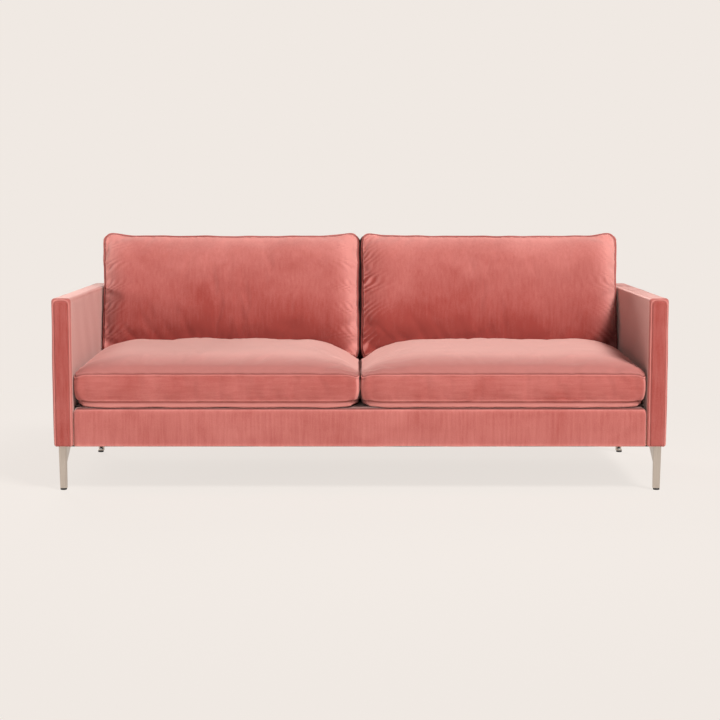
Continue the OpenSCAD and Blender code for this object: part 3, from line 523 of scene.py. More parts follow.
arm_low = (1.0, -0.47, 0.161)
arm_high = (1.067, 0.47, 0.678)
arm_edge_r = 0.012
arm_rear_r = 0.025
arm_underside_r = 0.007
arm_seam_in = 0.009
arm_panel_r = 0.024
arm_panel_swell = 0.0022
arm_side_swell = 0.0015
arm_panel_tone = -0.14
arm_inner_tone = -0.42
left_top_painted_light = 0.12
right_top_painted_light = 0.42
fine_steps = np.array([0, 3, 6, 9, 12, 18]) / 1000
rear_steps = np.array([0, 3, 6, 9, 12, 18, 25]) / 1000

velvet_upright = cotton_velvet("cotton_velvet_upright", 2, 0.30)

arm_raw, arm_quads = lattice_skin(arm_low, arm_high, (fine_steps, rear_steps, fine_steps),
                                  (0.011, 0.016, 0.016))
arm_radii = (arm_edge_r, arm_edge_r, arm_rear_r, arm_edge_r)
arm_shape = soften_block(arm_raw, arm_low, arm_high, arm_radii, arm_edge_r, arm_underside_r)

for side, name in ((-1, "left"), (1, "right")):
    mirror = np.array([side, 1, 1])
    arm = new_mesh("arm_velvet_" + name, arm_shape * mirror, arm_quads[:, ::side])
    raw, shape, normal = refine(arm, arm_raw)
    # Distance from the front panel's seam, more than 0 on the panel itself
    in_x = np.minimum(raw[:, 0] - arm_low[0], arm_high[0] - raw[:, 0])
    in_z = arm_high[2] - raw[:, 2]
    from_front = raw[:, 1] - arm_low[1]
    in_corner = (in_x < arm_panel_r) & (in_z < arm_panel_r)
    panel_in = np.where(in_corner, arm_panel_r - np.hypot(arm_panel_r - in_x, arm_panel_r - in_z),
                        np.minimum(in_x, in_z))
    from_seam = panel_in - from_front - arm_seam_in
    push = seam_relief(from_seam, groove=0.0016, ridge=0.0014)
    push += 0.0004 * wander(shape, 0.16, 11 + side)
    push += arm_panel_swell * ramp(from_seam, 0.024) ** 0.5 * (from_front < 0.001)
    # The outer side is pulled a little fuller by its foam than the inner side
    outer = normal[:, 0] * side > 0.9
    push += arm_side_swell * outer * ramp(np.minimum(raw[:, 2] - arm_low[2], in_z), 0.2)
    write_points(arm, shape + normal * push[:, None])
    # Darker along the front panel's seam, where the pile is pressed in the stitches, with painted shade
    # in its groove
    keep_shade(arm, "seam_and_painted_shade", 0.22 * near(from_seam, stitch_width))
    near_front = from_front < 0.02
    # The nap of the side that faces the seat was cut the other way, so it is a deeper rose
    inner = (normal[:, 0] * side < -0.9) * ~near_front * np.clip(in_z / 0.035, 0.2, 1)
    # Painted light on the arm tops: the right arm's top is paler all along, the left one's a little
    # paler at the front, and a painted shadow of the back cushion deepens it towards the back
    top_painted_light = right_top_painted_light if side > 0 else left_top_painted_light - 0.45 * ramp(raw[:, 1] + 0.05, 0.2)
    # Painted highlights on the soft ridges beside the front panel's seam
    tone = (0.35 * seam_ridge_highlight(from_seam) * near_front + arm_inner_tone * inner
            + top_painted_light * (normal[:, 2] > 0.9))
    keep_shade(arm, "nap_tone_and_painted_light", np.where(from_seam > 0, arm_panel_tone, tone))
    arm.data.materials.append(velvet_upright)
    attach(arm, "frame")
    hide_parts("arm_cover_" + name, "arm_foam_" + name)


# Back panel: the padded back between the arms. Its front face slopes back above the seat, and its
# velvet is pulled over the rounded top and closed by a sewn panel on the rear.

back_low = (-1.0, 0.36, 0.161)
back_high = (1.0, 0.47, 0.678)
back_deck_z = 0.295
back_top_front_y = 0.403
back_edge_r = 0.012
back_fold_r = 0.003
back_seam_in = 0.014

back_raw, back_quads = lattice_skin(back_low, back_high, (fine_steps, fine_steps, fine_steps),
                                    (0.02, 0.014, 0.016))
# Its section is rounded as seen from the side, so the edges that run across are the upright ones
back_radii = (back_fold_r, back_fold_r, back_edge_r, back_edge_r)
back_shape = soften_block(back_raw, back_low, back_high, back_radii, back_fold_r, back_fold_r, (1, 2, 0))
slope = (back_top_front_y - back_low[1]) / (back_high[2] - back_deck_z)
shift = np.maximum(0, back_shape[:, 2] - back_deck_z) * slope
back_shape[:, 1] += shift * (back_high[1] - back_shape[:, 1]) / (back_high[1] - back_low[1])

back_panel = new_mesh("back_panel_velvet", back_shape, back_quads)
raw, shape, normal = refine(back_panel, back_raw)
side_in = np.minimum(raw[:, 0] - back_low[0], back_high[0] - raw[:, 0])
rear_in = np.minimum(side_in, back_high[2] - raw[:, 2])
from_seam = rear_in - (back_high[1] - raw[:, 1]) - back_seam_in
push = seam_relief(from_seam, groove=0.0020, ridge=0.0010) + 0.0005 * wander(shape, 0.2, 21)
write_points(back_panel, shape + normal * push[:, None])
# Darker along the rear seam, where the pile is pressed in the stitches, with painted shade in its groove
keep_shade(back_panel, "seam_and_painted_shade", 0.8 * near(from_seam, 0.0022))
back_panel.data.materials.append(velvet_upright)
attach(back_panel, "frame")
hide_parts("back_cover", "back_foam")


# Front rail and deck: the padded rail under the seat cushions, 5 mm behind the arm fronts, with
# rounded upper ends. Its velvet runs back over the rail as a lip, and the deck's cloth is sewn to it.

rail_underside = 0.161
rail_low = (-1.0, -0.465, 0.149)
rail_high = (1.0, -0.40, 0.295)
rail_end_r = 0.022
rail_foot_r = 0.012
rail_edge_r = 0.018
rail_rear_r = 0.002
rail_face_swell = 0.0015
belt_pitch = 0.162
hem_in = 0.008
hem_width = 0.002
end_steps = np.array([0, 3, 6, 9, 12, 17, 22, 30]) / 1000

rail_raw, rail_quads = lattice_skin(rail_low, rail_high, (end_steps, fine_steps, end_steps),
                                    (0.014, 0.012, 0.012))
# Its ends are rounded as seen from the front, so the edges that run back are the upright ones
rail_radii = (rail_foot_r, rail_foot_r, rail_end_r, rail_end_r)
rail_shape = soften_block(rail_raw, rail_low, rail_high, rail_radii, rail_rear_r, rail_edge_r, (0, 2, 1))
# Underneath, the velvet is pulled flat over the timber and stapled, so that edge is nearly square
rail_shape[:, 2] = np.maximum(rail_shape[:, 2], rail_underside)
rail = new_mesh("front_rail_velvet", rail_shape, rail_quads)
raw, shape, normal = refine(rail, rail_raw)
from_edge = np.minimum(raw[:, 2] - rail_low[2], rail_high[2] - raw[:, 2])
face = (normal[:, 1] < -0.7) * ramp(from_edge, 0.05)
push = rail_face_swell * face + 0.0006 * wander(shape, 0.18, 31)
write_points(rail, shape + normal * push[:, None])
# Painted shade on the rail's top, under the seat cushions' front edge
painted_shade_under_seat = ramp(read_points(rail)[:, 2] - rail_high[2] + 0.0065, 0.003)
keep_shade(rail, "seam_and_painted_shade", 0.85 * painted_shade_under_seat)
# A painted highlight runs round its top edge, its ends and the line of its underside
rail_rim = np.minimum(rail_high[2] - raw[:, 2], rail_high[0] - np.abs(raw[:, 0]))
rail_rim = np.minimum(rail_rim, np.abs(raw[:, 2] - rail_underside))
keep_shade(rail, "nap_tone_and_painted_light", 0.25 * near(rail_rim, 0.007))
rail.data.materials.append(velvet_upright)
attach(rail, "frame")
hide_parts("front_rail_cover", "front_rail_foam")

deck_low, deck_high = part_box("deck_cover")
deck_steps = [np.array(steps) / 1000 for steps in ([0, 6], [0, 4, 8, 12], [0])]
deck_raw, deck_quads = lattice_skin(deck_low, deck_high, deck_steps, (0.02, 0.02, 0.02))
deck = new_mesh("deck_cloth", deck_raw, deck_quads)
# The cloth dips between the belts, and its front edge is turned under and stitched
x, y, z = deck_raw.T
dip = 0.0008 * (0.5 + 0.5 * np.cos(2 * math.pi * x / belt_pitch)) + 0.0004 * wander(deck_raw, 0.12, 41)
hem = near(y - deck_low[1] - hem_in, hem_width)
top_side = z > (deck_low[2] + deck_high[2]) / 2
deck_raw[:, 2] -= np.where(top_side, np.maximum(0, dip) + 0.0007 * hem, 0)
write_points(deck, deck_raw)
# It lies under the cushions, so painted shade makes it dark, and darker along the hem
keep_shade(deck, "seam_and_painted_shade", 0.55 + 0.3 * hem)
keep_shade(deck, "nap_tone_and_painted_light", np.full(len(x), -0.4))
deck.data.materials.append(velvet_upright)
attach(deck, "frame")
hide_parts("deck_cover")


# Legs and levelling feet: each leg is one steel plate, bent once and brushed upright, with a long
# gusset back along the arm. A black foot with a turned pad and a threaded stem screws into the nut
# on its foot plate.


def brushed_steel():
    """Stainless steel brushed upright: a satin gloss drawn out along fine scratches.

    They are 1.5 mm apart and 60 mm long; the real ones are finer and would not show.
    """
    # Its warm beige tone is a painted reflection of the warm studio round it
    return grained("brushed_stainless_steel", ("d9cdc1", "b5aa9f"), {"Scale": 1.0, "Detail": 4.0},
                   stretch=(1000 / 1.5, 1000 / 1.5, 1000 / 60), gloss=(0.22, 0.42),
                   relief=(0.15, 0.0002), metallic=1.0, roughness=0.3, anisotropic=0.4)


def moulded_nylon():
    """Black moulded nylon: a low, even gloss with the fine sparkle of its mould, 1.2 mm apart."""
    return grained("moulded_nylon", ("1b1a1a", "100f0f"), {"Scale": 1000 / 1.2, "Detail": 2.0},
                   gloss=(0.38, 0.55), relief=(0.2, 0.0002), ior=1.53)


steel = brushed_steel()
leg_places = ("front_left", "front_right", "rear_left", "rear_right")
for place_name in leg_places:
    finish_node("leg_" + place_name, steel, 0.0005)

# Radius and height of the foot's turned outline, from the middle of its pad up to the stem
pad_outline = [(0.0, 0.0), (0.0100, 0.0), (0.0110, 0.0006), (0.0115, 0.0016), (0.0115, 0.0044),
               (0.0110, 0.0056), (0.0098, 0.0064), (0.0070, 0.0068), (0.0052, 0.0070)]
stem_r = 0.0040
stem_root_r = 0.0034
stem_foot = 0.0072
stem_top = 0.033
thread_pitch = 0.00125
around_n = 28
nylon = moulded_nylon()


def foot_rings():
    """The turned pad's rings, then the stem's, where the thread climbs one pitch in each turn."""
    angles = 2 * math.pi * np.arange(around_n) / around_n
    rings = pad_outline[1:]
    # Five rings to each turn, up to the chamfered tip
    for h in np.arange(stem_foot, stem_top - 0.0012, thread_pitch / 5):
        wave = 0.5 + 0.5 * np.cos(2 * math.pi * (h / thread_pitch - angles / (2 * math.pi)))
        rings.append((stem_root_r + (stem_r - stem_root_r) * wave, h))
    rings += [(stem_root_r, stem_top - 0.0008), (stem_root_r - 0.0008, stem_top)]
    return [np.stack([r * np.cos(angles), r * np.sin(angles), np.full(around_n, h)], 1)
            for r, h in rings]


rings = foot_rings()
foot_shape = np.concatenate(rings)
top_ring = (len(rings) - 1) * around_n
foot_faces = [list(range(around_n))[::-1], [top_ring + k for k in range(around_n)]]
for start in range(0, top_ring, around_n):
    for k in range(around_n):
        a, b = start + k, start + (k + 1) % around_n
        foot_faces.append([a, b, b + around_n, a + around_n])
for place_name in leg_places:
    low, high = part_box("leveller_" + place_name)
    middle = np.array([(low.x + high.x) / 2, (low.y + high.y) / 2, low.z])
    foot = new_mesh("foot_" + place_name, foot_shape + middle, foot_faces)
    foot.data.materials.append(nylon)
    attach(foot, "foot_" + place_name)
    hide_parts("leveller_" + place_name)


# Seat cushions: a wrapped foam core in a velvet cover of two panels and a boxing strip, crowned high
# in the middle, rounded at the front corners and pressed down under the back cushions.

seat_half = 0.4975
seat_depth = 0.816
seat_front_mid = (0.4995, -0.464, 0.2953)
seat_low_seam = 0.022
seat_boxing = 0.097
seat_crown = 0.080
seat_sink = 0.020
seat_front_r = 0.026
seat_rear_r = 0.024
seat_inner_reach = 0.300
seat_inner_fullness = 2.7
seat_arm_reach = 0.240
seat_arm_share = 0.36
seat_corner_drop = 0.010
seat_corner_reach = 0.055
seat_tip_reach = 0.024
seat_front_reach = 0.480
seat_roll_reach = 0.036
seat_roll_share = 0.36
seat_hang = 0.0015
seat_side_sag = 0.009
seat_slack = 0.024
seat_fold_cap = 0.006
# How much of the crown is left at each distance from the front, under the back cushion
press_places = [0.0, 0.367, 0.498, 0.5824, 0.6048, 0.6244, 0.644, 0.6776, 0.7336, 0.792, 0.816]
press_shares = [1.0, 1.0, 0.98, 0.87, 0.79, 0.62, 0.40, 0.16, 0.0, 0.0, 0.0]
panel_steps = np.array([0, 3, 7, 12, 19, 28, 38]) / 1000
boxing_steps = np.array([0, 3, 7, 12, 20]) / 1000


def swell(distance, reach, fullness=2.2):
    """How far the filling has raised a panel at a distance from its edge, as a share."""
    return 1 - (1 - ramp(distance, reach)) ** fullness


def round_plan(x, y, half, depth, low_r, high_r):
    """Moves the points of a square-cornered plan on to round corners of the same radius."""
    r = np.where(y < depth / 2, low_r, high_r)
    px = np.maximum(0, np.abs(x) - half + r)
    py = np.maximum(0, r - np.minimum(y, depth - y))
    turn = np.where(px + py > 0, np.maximum(px, py) / np.maximum(np.hypot(px, py), 1e-9), 1)
    new_x = np.sign(x) * np.where(px > 0, half - r + px * turn, np.abs(x))
    edge_y = r - py * turn
    return new_x, np.where(py > 0, np.where(y < depth / 2, edge_y, depth - edge_y), y)


def waver(along, size, seed):
    """A smooth uneven line between about -1 and 1."""
    waves = np.random.default_rng(seed)
    return sum(np.sin(2 * math.pi * along / size * waves.uniform(0.5, 1.7) + waves.uniform(0, 6.3))
               for _ in range(5)) / 2.4


def puckers(along, away, pitch, reach, seed):
    """Folds that start at a seam and fade into the panel, some deep and some hardly there.

    Their lean, their spacing and their depth all wander along the seam.
    """
    lean = 1.0 + 0.3 * waver(along, 0.35, seed + 1)
    phase = 2 * math.pi * (along - lean * away * 0.75) / pitch + 2.2 * waver(along, 3.2 * pitch, seed)
    deep = np.clip(0.60 + 0.70 * waver(along, 0.13, seed + 2), 0.12, 1.3)
    fade = np.exp(-np.maximum(away, 0) / reach) * (1 - np.exp(-np.abs(away) / 0.004))
    return deep * fade * np.cos(phase) * (away > 0)


def seat_top(x, y):
    """Height of the top panel: its crown, its front roll and the dip under the back cushion."""
    # The dip is averaged over 32 mm, so that its edge is soft
    fall = sum(np.interp(y + shift, press_places, press_shares)
               for shift in (-0.016, -0.008, 0, 0.008, 0.016)) / 5
    # The filling makes a firm roll along the front seam before the panel rises more gently
    front = ((1 - seat_roll_share) * swell(y, seat_front_reach, 1.7)
             + seat_roll_share * swell(y, seat_roll_reach))
    # The side by the arm is held up by it, so it starts higher than the one by the other cushion
    away = seat_half - np.abs(x)
    arm_side = seat_arm_share * swell(away, 0.018) + (1 - seat_arm_share) * swell(away, seat_arm_reach)
    side = np.where(x > 0, arm_side, swell(away, seat_inner_reach, seat_inner_fullness))
    raised = side * front * fall
    return seat_low_seam + seat_boxing - seat_sink * (1 - fall) + seat_crown * raised


def seat_under(x, y):
    """The underside: flat on the deck, curled up to the lower seam, and hung a little in front."""
    side = 1 - ramp(seat_half - np.abs(x), 0.034)
    front = 1 - ramp(np.minimum(y, seat_depth - y), 0.022)
    curl = 1 - np.where(front > side, np.cbrt(1 - front ** 3), np.sqrt(1 - side ** 2))
    hang = seat_hang * np.clip(1 - y / 0.020, 0, 1) ** 0.7 * ramp(y, 0.002)
    return seat_low_seam * curl - hang * (1 - side)


settle_frames = 20


def settle_cover(piece, held, slack, cap):
    """Lets a cover that is cut a little too large settle as cloth on its filling, seams held.

    Only the folds are kept, up to the cap: the even swelling is already in the cushion's shape.
    """
    start = read_points(piece)
    group = piece.vertex_groups.new(name="held")
    group.add(np.flatnonzero(held).tolist(), 1.0, "REPLACE")
    cover = piece.modifiers.new("cover", "CLOTH")
    cover.settings.quality = 4
    cover.settings.mass = 0.25
    cover.settings.tension_stiffness = 18.0
    cover.settings.compression_stiffness = 18.0
    cover.settings.shear_stiffness = 6.0
    cover.settings.bending_stiffness = 0.25
    cover.settings.use_pressure = True
    cover.settings.uniform_pressure_force = 4.0
    cover.settings.effector_weights.gravity = 0.0
    cover.settings.shrink_min = -slack
    cover.settings.vertex_group_mass = "held"
    cover.collision_settings.use_collision = False
    cover.point_cache.frame_start = 1
    cover.point_cache.frame_end = settle_frames
    for step in range(1, settle_frames + 1):
        bpy.context.scene.frame_set(step)
    graph = bpy.context.evaluated_depsgraph_get()
    settled = piece.evaluated_get(graph).to_mesh()
    flat = np.zeros(len(settled.vertices) * 3, np.float32)
    settled.vertices.foreach_get("co", flat)
    piece.evaluated_get(graph).to_mesh_clear()
    piece.modifiers.remove(cover)
    piece.vertex_groups.remove(group)
    bpy.context.scene.frame_set(1)
    moved = flat.reshape(-1, 3).astype(float) - start
    edges = np.zeros(len(piece.data.edges) * 2, np.int32)
    piece.data.edges.foreach_get("vertices", edges)
    a, b = edges.reshape(-1, 2).T
    count = np.bincount(a, minlength=len(start)) + np.bincount(b, minlength=len(start))
    even = moved.copy()
    # Sixty rounds of averaging with the neighbouring points leave only the even swelling
    for _ in range(60):
        round_about = np.stack([np.bincount(a, even[b, axis], len(start))
                                + np.bincount(b, even[a, axis], len(start))
                                for axis in range(3)], axis=1) / count[:, None]
        even = np.where(held[:, None], 0.0, 0.5 * even + 0.5 * round_about)
    folds = moved - even
    size = np.linalg.norm(folds, axis=1)
    folds *= (cap * np.tanh(size / cap) / np.maximum(size, 1e-9))[:, None]
    write_points(piece, start + folds)


velvet_seat = cotton_velvet("cotton_velvet_seat", 0, bloom=0.45)

seat_raw, seat_quads = lattice_skin((-seat_half, 0.0, 0.0), (seat_half, seat_depth, seat_boxing),
                                    (panel_steps, panel_steps, boxing_steps), (0.0115, 0.0115, 0.010))


def seat_shape():
    """The cushion as it is sewn and stuffed, before its cover settles."""
    x, y, w = seat_raw.T
    up = w / seat_boxing
    # Front corners are drawn in, more at the lower seam than at the upper one
    corner = np.exp(-((seat_half - np.abs(x)) ** 2 + y ** 2) / seat_corner_reach ** 2)
    tuck = 1 - np.sqrt(1 - np.clip(1 - up / 0.62, 0, 1) ** 2)
    draw = corner * (0.013 * tuck + 0.002)
    plan_x, plan_y = round_plan(x, y, seat_half, seat_depth, seat_front_r, seat_rear_r)
    u, v = x / seat_half, 2 * y / seat_depth - 1
    plan_x = plan_x - 0.0025 * u * (1 - v ** 2) - u * draw
    plan_y = plan_y + 0.004 * (1 - u ** 2) * (1 - v) / 2 - v * draw
    low = seat_under(x, y) + 0.003 * corner
    tip = np.exp(-((seat_half - np.abs(x)) ** 2 + y ** 2) / seat_tip_reach ** 2)
    # The free side, next to the other cushion, sags a little behind its front corner
    sag = seat_side_sag * near(seat_half + x, 0.035) * ramp(y - 0.04, 0.20)
    high = seat_top(x, y) - seat_corner_drop * tip - sag
    return np.stack([plan_x, plan_y, low + (high - low) * up], axis=1)


def over_boxed_cover(raw, half, depth, boxing):
    """Where each point of a boxed cover lies, measured on its unshaped block.

    Gives how far it is from the nearer side and in from the panels' edge, how far on to the upper
    and the lower panel from their seams, and the bow of the boxing, 1 in its middle.
    """
    x, y, w = raw.T
    side_away = half - np.abs(x)
    edge_in = np.minimum(np.minimum(side_away, y), depth - y)
    from_upper = np.where(w > 0, edge_in + w - boxing, boxing)
    from_lower = np.where(w < boxing, edge_in - w, boxing)
    bow = 4 * (w / boxing) * (1 - w / boxing) * (edge_in < 1e-4)
    return side_away, edge_in, from_upper, from_lower, bow


hair = 1e-6
pucker_pitch = 0.022
pucker_reach = 0.030
seat_at_rest = seat_shape()

for side, name in ((-1, "left"), (1, "right")):
    mirror = np.array([side, 1, 1])
    place = np.array(seat_front_mid) * mirror
    seat = new_mesh("seat_cushion_" + name, seat_at_rest * mirror + place, seat_quads[:, ::side])
    x, y, w = seat_raw.T
    side_away = seat_half - np.abs(x)
    on_seam = np.abs(np.minimum(side_away, y) + w - seat_boxing) < hair
    free = (w >= seat_boxing - hair) & (y < 0.62)
    free |= (w > 0) & ((y < hair) | ((side_away < hair) & (y < 0.55)))
    settle_cover(seat, ~(free & ~on_seam), seat_slack, seat_fold_cap)
    raw, shape, normal = refine(seat, seat_raw)
    x, y, w = raw.T
    side_away, edge_in, from_top, from_low, bow = over_boxed_cover(
        raw, seat_half, seat_depth, seat_boxing)
    push = seam_relief(from_top, groove=0.0018, ridge=0.0015)
    push += seam_relief(from_low, groove=0.0010, ridge=0.0012)
    # The boxing bows out a little in front; its sides are held by the arm and the next cushion
    before_rear = y < seat_depth - 0.03
    push += bow * np.where(y < 0.02, 0.0035, 0.0010) * before_rear
    seed = 100 + 7 * side
    on_top = w >= seat_boxing - hair
    push += on_top * 0.0014 * puckers(y, side_away, pucker_pitch, pucker_reach, seed + (x > 0))
    push += on_top * 0.0005 * puckers(x, y, 0.026, 0.020, seed + 3)
    push += on_top * 0.0022 * wander(shape, 0.26, seed + 4) * ramp(edge_in, 0.1)
    push += 0.0007 * wander(shape, 0.07, seed + 5) * before_rear
    write_points(seat, shape + normal * push[:, None])
    from_seam = np.minimum(np.abs(from_top), np.abs(from_low))
    # Darker along the seams, where the pile is pressed in the stitches, with painted shade in their
    # grooves; painted shade on the front roll, on the sides in the gaps by the arm and the next cushion,
    # and underneath
    roll = on_top * (1 - ramp(y - 0.022, 0.13))
    painted_shade_share = 0.6 * (side_away < 1e-4) * ~on_top * ramp(y - 0.020, 0.030)
    painted_underside_shade = 0.8 * (w < hair) * (edge_in > 0.010)
    keep_shade(seat, "seam_and_painted_shade", 0.45 * near(from_seam, 0.0017) + 0.38 * roll + painted_shade_share + painted_underside_shade)
    # A painted sheen makes the top panel paler once it has rolled over, less so on the slope down to
    # the arm, and a little less on the right cushion
    rolled = ramp(y - 0.022, 0.20) ** 0.8
    by_arm = np.where(x > 0, 0.35 + 0.65 * ramp(side_away, 0.14), 1.0)
    keep_shade(seat, "painted_sheen", on_top * rolled * by_arm * (0.95 - 0.05 * side))
    # A painted sheen makes the lower panel's curled edge a pale strip under the boxing, and painted
    # shade deepens the top panel's front roll
    panel_tone = np.where(from_low > 0, 0.75, 0.0) - 0.16 * on_top * (1 - rolled)
    # A painted highlight runs down the boxing's front corners, strongest on the corner that faces right,
    # and painted highlights line the seams
    turned = near(y - side_away - 0.005, 0.009) * ~on_top * np.where(x * side > 0, 0.8, 0.2)
    keep_shade(seat, "nap_tone_and_painted_light", panel_tone + 0.22 * seam_ridge_highlight(from_seam) + turned)
    seat.data.materials.append(velvet_seat)
    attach(seat, "seat_cushion_" + name)
    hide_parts("seat_cover_" + name, "seat_core_" + name)


# Back cushions: boxed like the seats, with a softer fill. They lean back 13 degrees on the back panel
# and stand in the dip that they press in the seat cushions. Their seams pucker along both sides.

back_cushion_half = 0.4975
back_cushion_rise = 0.441
back_cushion_foot = (0.4995, 0.340, 0.407)
back_cushion_lean = math.radians(13.0)
rear_crown = 0.030
front_crown = 0.052
back_boxing = 0.140
back_corner_r = 0.032
back_side_reach = 0.090
back_foot_reach = 0.150
back_ear_rise = 0.0085
back_ear_in = 0.028
back_ear_width = 0.047
back_seam_drawn = 0.0055
back_hang_most = 0.045
back_hang_height = 0.20
back_slack = 0.028
back_fold_cap = 0.007

velvet_back = cotton_velvet("cotton_velvet_back", 2)
# A darker copy of the back velvet, with hardly any bloom, gives painted shade where two cushions
# press on each other
velvet_gap_shade = cotton_velvet("cotton_velvet_gap_shade", 2, bloom=0.12, deep="3a0f0e")

bc_raw, bc_quads = lattice_skin((-back_cushion_half, 0.0, 0.0),
                                (back_cushion_half, back_cushion_rise, back_boxing),
                                (panel_steps, panel_steps, boxing_steps), (0.0115, 0.0115, 0.012))


def back_cushion_shape():
    """The cushion lying on its rear face, with its lower edge at y = 0."""
    x, y, w = bc_raw.T
    rise = back_cushion_rise
    up = w / back_boxing
    edge_x = back_cushion_half - np.abs(x)
    raised = (swell(edge_x, back_side_reach) * swell(rise - y, back_side_reach)
              * swell(y, back_foot_reach))
    plan_x, plan_y = round_plan(x, y, back_cushion_half, rise, back_corner_r, back_corner_r)
    u, v = x / back_cushion_half, 2 * y / rise - 1
    # Top corners stand up as ears, because the filling does not reach into them
    ear = np.exp(-((edge_x - back_ear_in) ** 2 + (rise - y) ** 2) / back_ear_width ** 2)
    # Halfway up, the seams draw the panels in, a little more by the arm
    plan_x = plan_x - np.where(u > 0, 0.0050, 0.004) * u * (1 - v ** 2)
    bulge = 4 * up * (1 - up) * (edge_x < 1e-6)
    # The inner sides press on each other; the outer ones swell freely above the arm
    freed = 0.0055 * ramp(y - 0.275, 0.05) * np.sqrt(bulge)
    plan_x = plan_x + np.sign(x) * (bulge * (0.0012 + 0.0040 * (1 - v ** 2))
                                    + np.where(x > 0, freed, 0.0014 * bulge))
    plan_y = plan_y - 0.004 * (1 - u ** 2) * (1 + v) / 2 + back_ear_rise * ear
    # Its stitches draw the front seam in, so the boxing shows as a rim round the panel
    drawn = back_seam_drawn * np.exp(-(back_boxing - w) / 0.004)
    plan_x = plan_x - u * drawn
    plan_y = plan_y - np.maximum(v, 0) * (drawn - 0.002)
    low = rear_crown * (1 - raised)
    high = rear_crown + back_boxing + front_crown * raised
    return np.stack([plan_x, plan_y, low + (high - low) * up], axis=1)


def stand_up(points):
    """Turns a cushion that lies on its rear face up against the back panel."""
    s, c = math.sin(back_cushion_lean), math.cos(back_cushion_lean)
    x, y, z = points.T
    return np.stack([x, y * s - z * c, y * c + z * s], axis=1)


def sag_on_seat(points):
    """Lets the soft foot of the cushion hang down on to the seat cushion where that falls away."""
    foot = np.array(back_cushion_foot) - np.array(seat_front_mid)
    x, y, z = (points + foot).T
    foot_height = bc_raw[:, 1]
    top = seat_top(np.clip(x, -seat_half, seat_half), np.clip(y, 0, seat_depth))
    lowest = z - foot_height * math.cos(back_cushion_lean)
    # The rear of the lower boxing is held by the zip, so only the front of it hangs
    loose = ramp(bc_raw[:, 2] - 0.064, 0.050)
    foot_share = np.clip(1 - foot_height / back_hang_height, 0, 1)
    hang = np.clip(lowest - top - 0.002, 0, back_hang_most) * foot_share ** 2 * loose
    return points - np.stack([0 * hang, 0 * hang, hang], axis=1)


bc_at_rest = sag_on_seat(stand_up(back_cushion_shape()))

for side, name in ((-1, "left"), (1, "right")):
    mirror = np.array([side, 1, 1])
    place = np.array(back_cushion_foot) * mirror
    cushion = new_mesh("back_cushion_" + name, bc_at_rest * mirror + place, bc_quads[:, ::side])
    x, y, w = bc_raw.T
    edge_in = np.minimum(np.minimum(back_cushion_half - np.abs(x), y), back_cushion_rise - y)
    on_seam = np.abs(edge_in + w - back_boxing) < hair
    free = (w >= back_boxing - hair) & ~on_seam & (y > 0.01)
    settle_cover(cushion, ~free, back_slack, back_fold_cap)
    raw, shape, normal = refine(cushion, bc_raw)
    x, y, w = raw.T
    side_away, edge_in, from_front, from_rear, bow = over_boxed_cover(
        raw, back_cushion_half, back_cushion_rise, back_boxing)
    from_top = back_cushion_rise - y
    push = seam_relief(from_front, groove=0.0026, ridge=0.0016)
    push += seam_relief(from_rear, groove=0.0024, ridge=0.0012)
    push += bow * 0.004 * (from_top < 0.02)
    seed = 200 + 7 * side
    on_front = w >= back_boxing - hair
    folds = on_front * puckers(y, side_away, pucker_pitch, pucker_reach, seed + (x > 0))
    push += 0.0034 * folds
    push += on_front * 0.0010 * puckers(x, from_top, 0.030, 0.022, seed + 3)
    push += on_front * 0.0030 * wander(shape, 0.24, seed + 4) * ramp(edge_in, 0.09)
    push += 0.0009 * wander(shape, 0.08, seed + 5) * (y > 0.03)
    write_points(cushion, shape + normal * push[:, None])
    from_seam = np.minimum(np.abs(from_front), np.abs(from_rear))
    # Painted shade on the sides, in the gaps by the arm, below its top, and by the next cushion; the
    # seams are darker where the pile is pressed in the stitches, with painted shade in their grooves
    on_side = side_away < 1e-4
    behind_seam = back_boxing - w
    painted_gap_shade = 0.9 * on_side * ramp(behind_seam + 0.002, 0.009)
    painted_shade_share = np.where(x > 0, 0.6 * on_side * ramp(behind_seam - 0.004, 0.012) * ramp(0.30 - y, 0.08),
                       painted_gap_shade)
    # On the right a painted shadow of the arm darkens the lower corner too
    if side > 0:
        painted_arm_shadow = ramp(0.198 - y - 2.0 * side_away, 0.10) * (x > 0) * (w / back_boxing)
        painted_shade_share = np.maximum(painted_shade_share, 0.75 * painted_arm_shadow)
    keep_shade(cushion, "seam_and_painted_shade", np.maximum(0.6 * near(from_seam, stitch_width), painted_shade_share))
    # Painted light on the front panel: painted highlights towards its right edge and, on the left
    # cushion, its left edge, along the top, on the ridges of the folds and beside the seams; paler high
    # up and painted shade low down
    on_right = x * side > 0
    side_edge_highlight = np.exp(-side_away / 0.028) * np.where(on_right, 1.25, np.where(x > 0, 0.9, 0.0))
    top_highlight = 0.42 * np.exp(-from_top / 0.020)
    tone = side_edge_highlight + top_highlight + 0.42 * (y / back_cushion_rise - 0.66) + 0.70 * folds
    keep_shade(cushion, "nap_tone_and_painted_light", (tone + 0.35 * seam_ridge_highlight(from_seam)) * on_front)
    # A painted sheen pales the panel's right edge as well
    keep_shade(cushion, "painted_sheen", 0.30 * np.exp(-side_away / 0.022) * on_right * on_front)
    cushion.data.materials.append(velvet_back)
    # The inner side, in the gap between the cushions, takes the darker copy of the velvet as painted
    # shade
    cushion.data.materials.append(velvet_gap_shade)
    corners = np.zeros(len(cushion.data.polygons) * 4, np.int32)
    cushion.data.polygons.foreach_get("vertices", corners)
    in_painted_gap_shade = ((painted_gap_shade > 0.45) & (x < 0))[corners.reshape(-1, 4)].all(axis=1)
    cushion.data.polygons.foreach_set("material_index", in_painted_gap_shade.astype(np.int32))
    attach(cushion, "back_cushion_" + name)
    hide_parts("back_cushion_cover_" + name, "back_core_" + name)


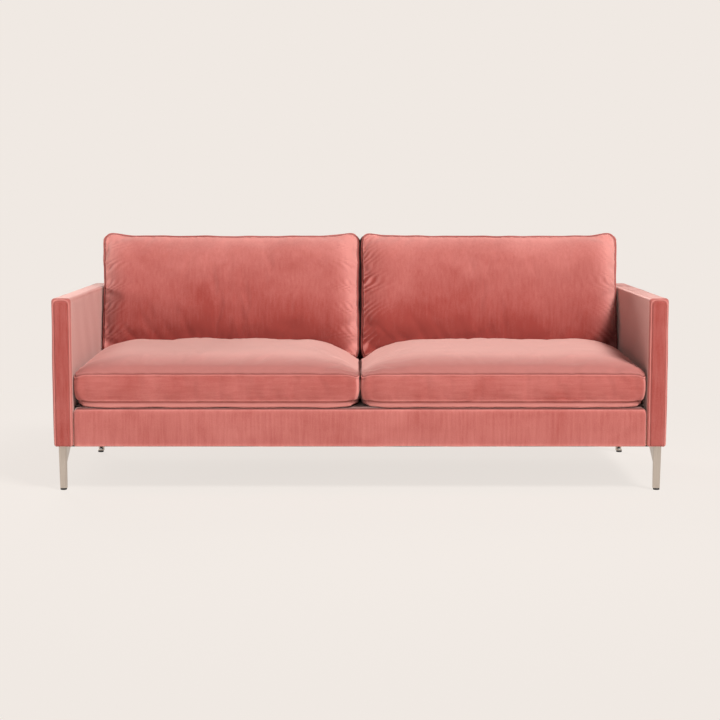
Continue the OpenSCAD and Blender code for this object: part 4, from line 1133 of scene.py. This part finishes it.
# Zips and sliders: each cushion closes with a 26 mm coil zip, two woven tapes with a 5 mm nylon coil
# between them, and a nickel plated slider with a pull tab.


def coil_zip(name, across, middle):
    """Rose woven tape, with the pale nylon coil drawn as tight ribs over its middle 5 mm."""
    material, tree, shader, place = start_material(name, specular_ior_level=0.3)
    offset = add_node(tree, "ShaderNodeVectorMath", {1: middle}, {0: place}, operation="SUBTRACT")
    side = add_node(tree, "ShaderNodeVectorMath", {1: across}, {0: offset.outputs[0]},
                    operation="DOT_PRODUCT")
    away = add_node(tree, "ShaderNodeMath", links={0: side.outputs["Value"]}, operation="ABSOLUTE")
    coil = add_node(tree, "ShaderNodeMath", {1: 0.0026}, {0: away.outputs[0]}, operation="LESS_THAN")
    # Coil turns 2.6 mm apart and threads about 4 mm apart, both coarser than real ones
    turns = add_node(tree, "ShaderNodeTexWave", {"Scale": 1000 / 1.3 / 6.28},
                     {"Vector": place}, bands_direction="X")
    threads = add_node(tree, "ShaderNodeTexWave", {"Scale": 1000 / 1.6 / 6.28, "Distortion": 0.5},
                       {"Vector": offset.outputs[0]}, bands_direction="DIAGONAL")
    tape = add_node(tree, "ShaderNodeMix", {6: srgb("9c4b45"), 7: srgb("bd6a63")},
                    {0: threads.outputs["Fac"]}, data_type="RGBA")
    nylon_colour = add_node(tree, "ShaderNodeMix", {6: srgb("7d3833"), 7: srgb("d58c84")},
                            {0: turns.outputs["Fac"]}, data_type="RGBA")
    colour = add_node(tree, "ShaderNodeMix", None,
                      {0: coil.outputs[0], 6: tape.outputs[2], 7: nylon_colour.outputs[2]},
                      data_type="RGBA")
    gloss = add_node(tree, "ShaderNodeMapRange", {"To Min": 0.9, "To Max": 0.42},
                     {"Value": coil.outputs[0]})
    height = add_node(tree, "ShaderNodeMix", None, {0: coil.outputs[0], 2: threads.outputs["Fac"],
                                                    3: turns.outputs["Fac"]}, data_type="FLOAT")
    relief = add_node(tree, "ShaderNodeBump", {"Strength": 0.7, "Distance": 0.0005},
                      {"Height": height.outputs[0]})
    feed_shader(tree, shader, colour, gloss, relief)
    return material


def nickel_plate():
    """Polished nickel: bright and a little warm, with rubbed patches 2.5 mm across."""
    return grained("nickel_plate", ("d3cdc2", "b3aca0"), {"Scale": 1000 / 2.5, "Detail": 3.0},
                   gloss=(0.14, 0.34), metallic=1.0)


# The seat zips stand upright on the rear; the back zips lie across the leaning cushions' foot
zip_across = {"seat": (0.0, 0.0, 1.0),
              "back": (0.0, -math.cos(back_cushion_lean), math.sin(back_cushion_lean))}
nickel = nickel_plate()
for kind, across in zip_across.items():
    for side in ("left", "right"):
        name = "%s_zip_%s" % (kind, side)
        low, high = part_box(name)
        finish_node(name, coil_zip("coil_" + name, across, (low + high) / 2))
        finish_node("%s_zip_pull_%s" % (kind, side), nickel, 0.0003)
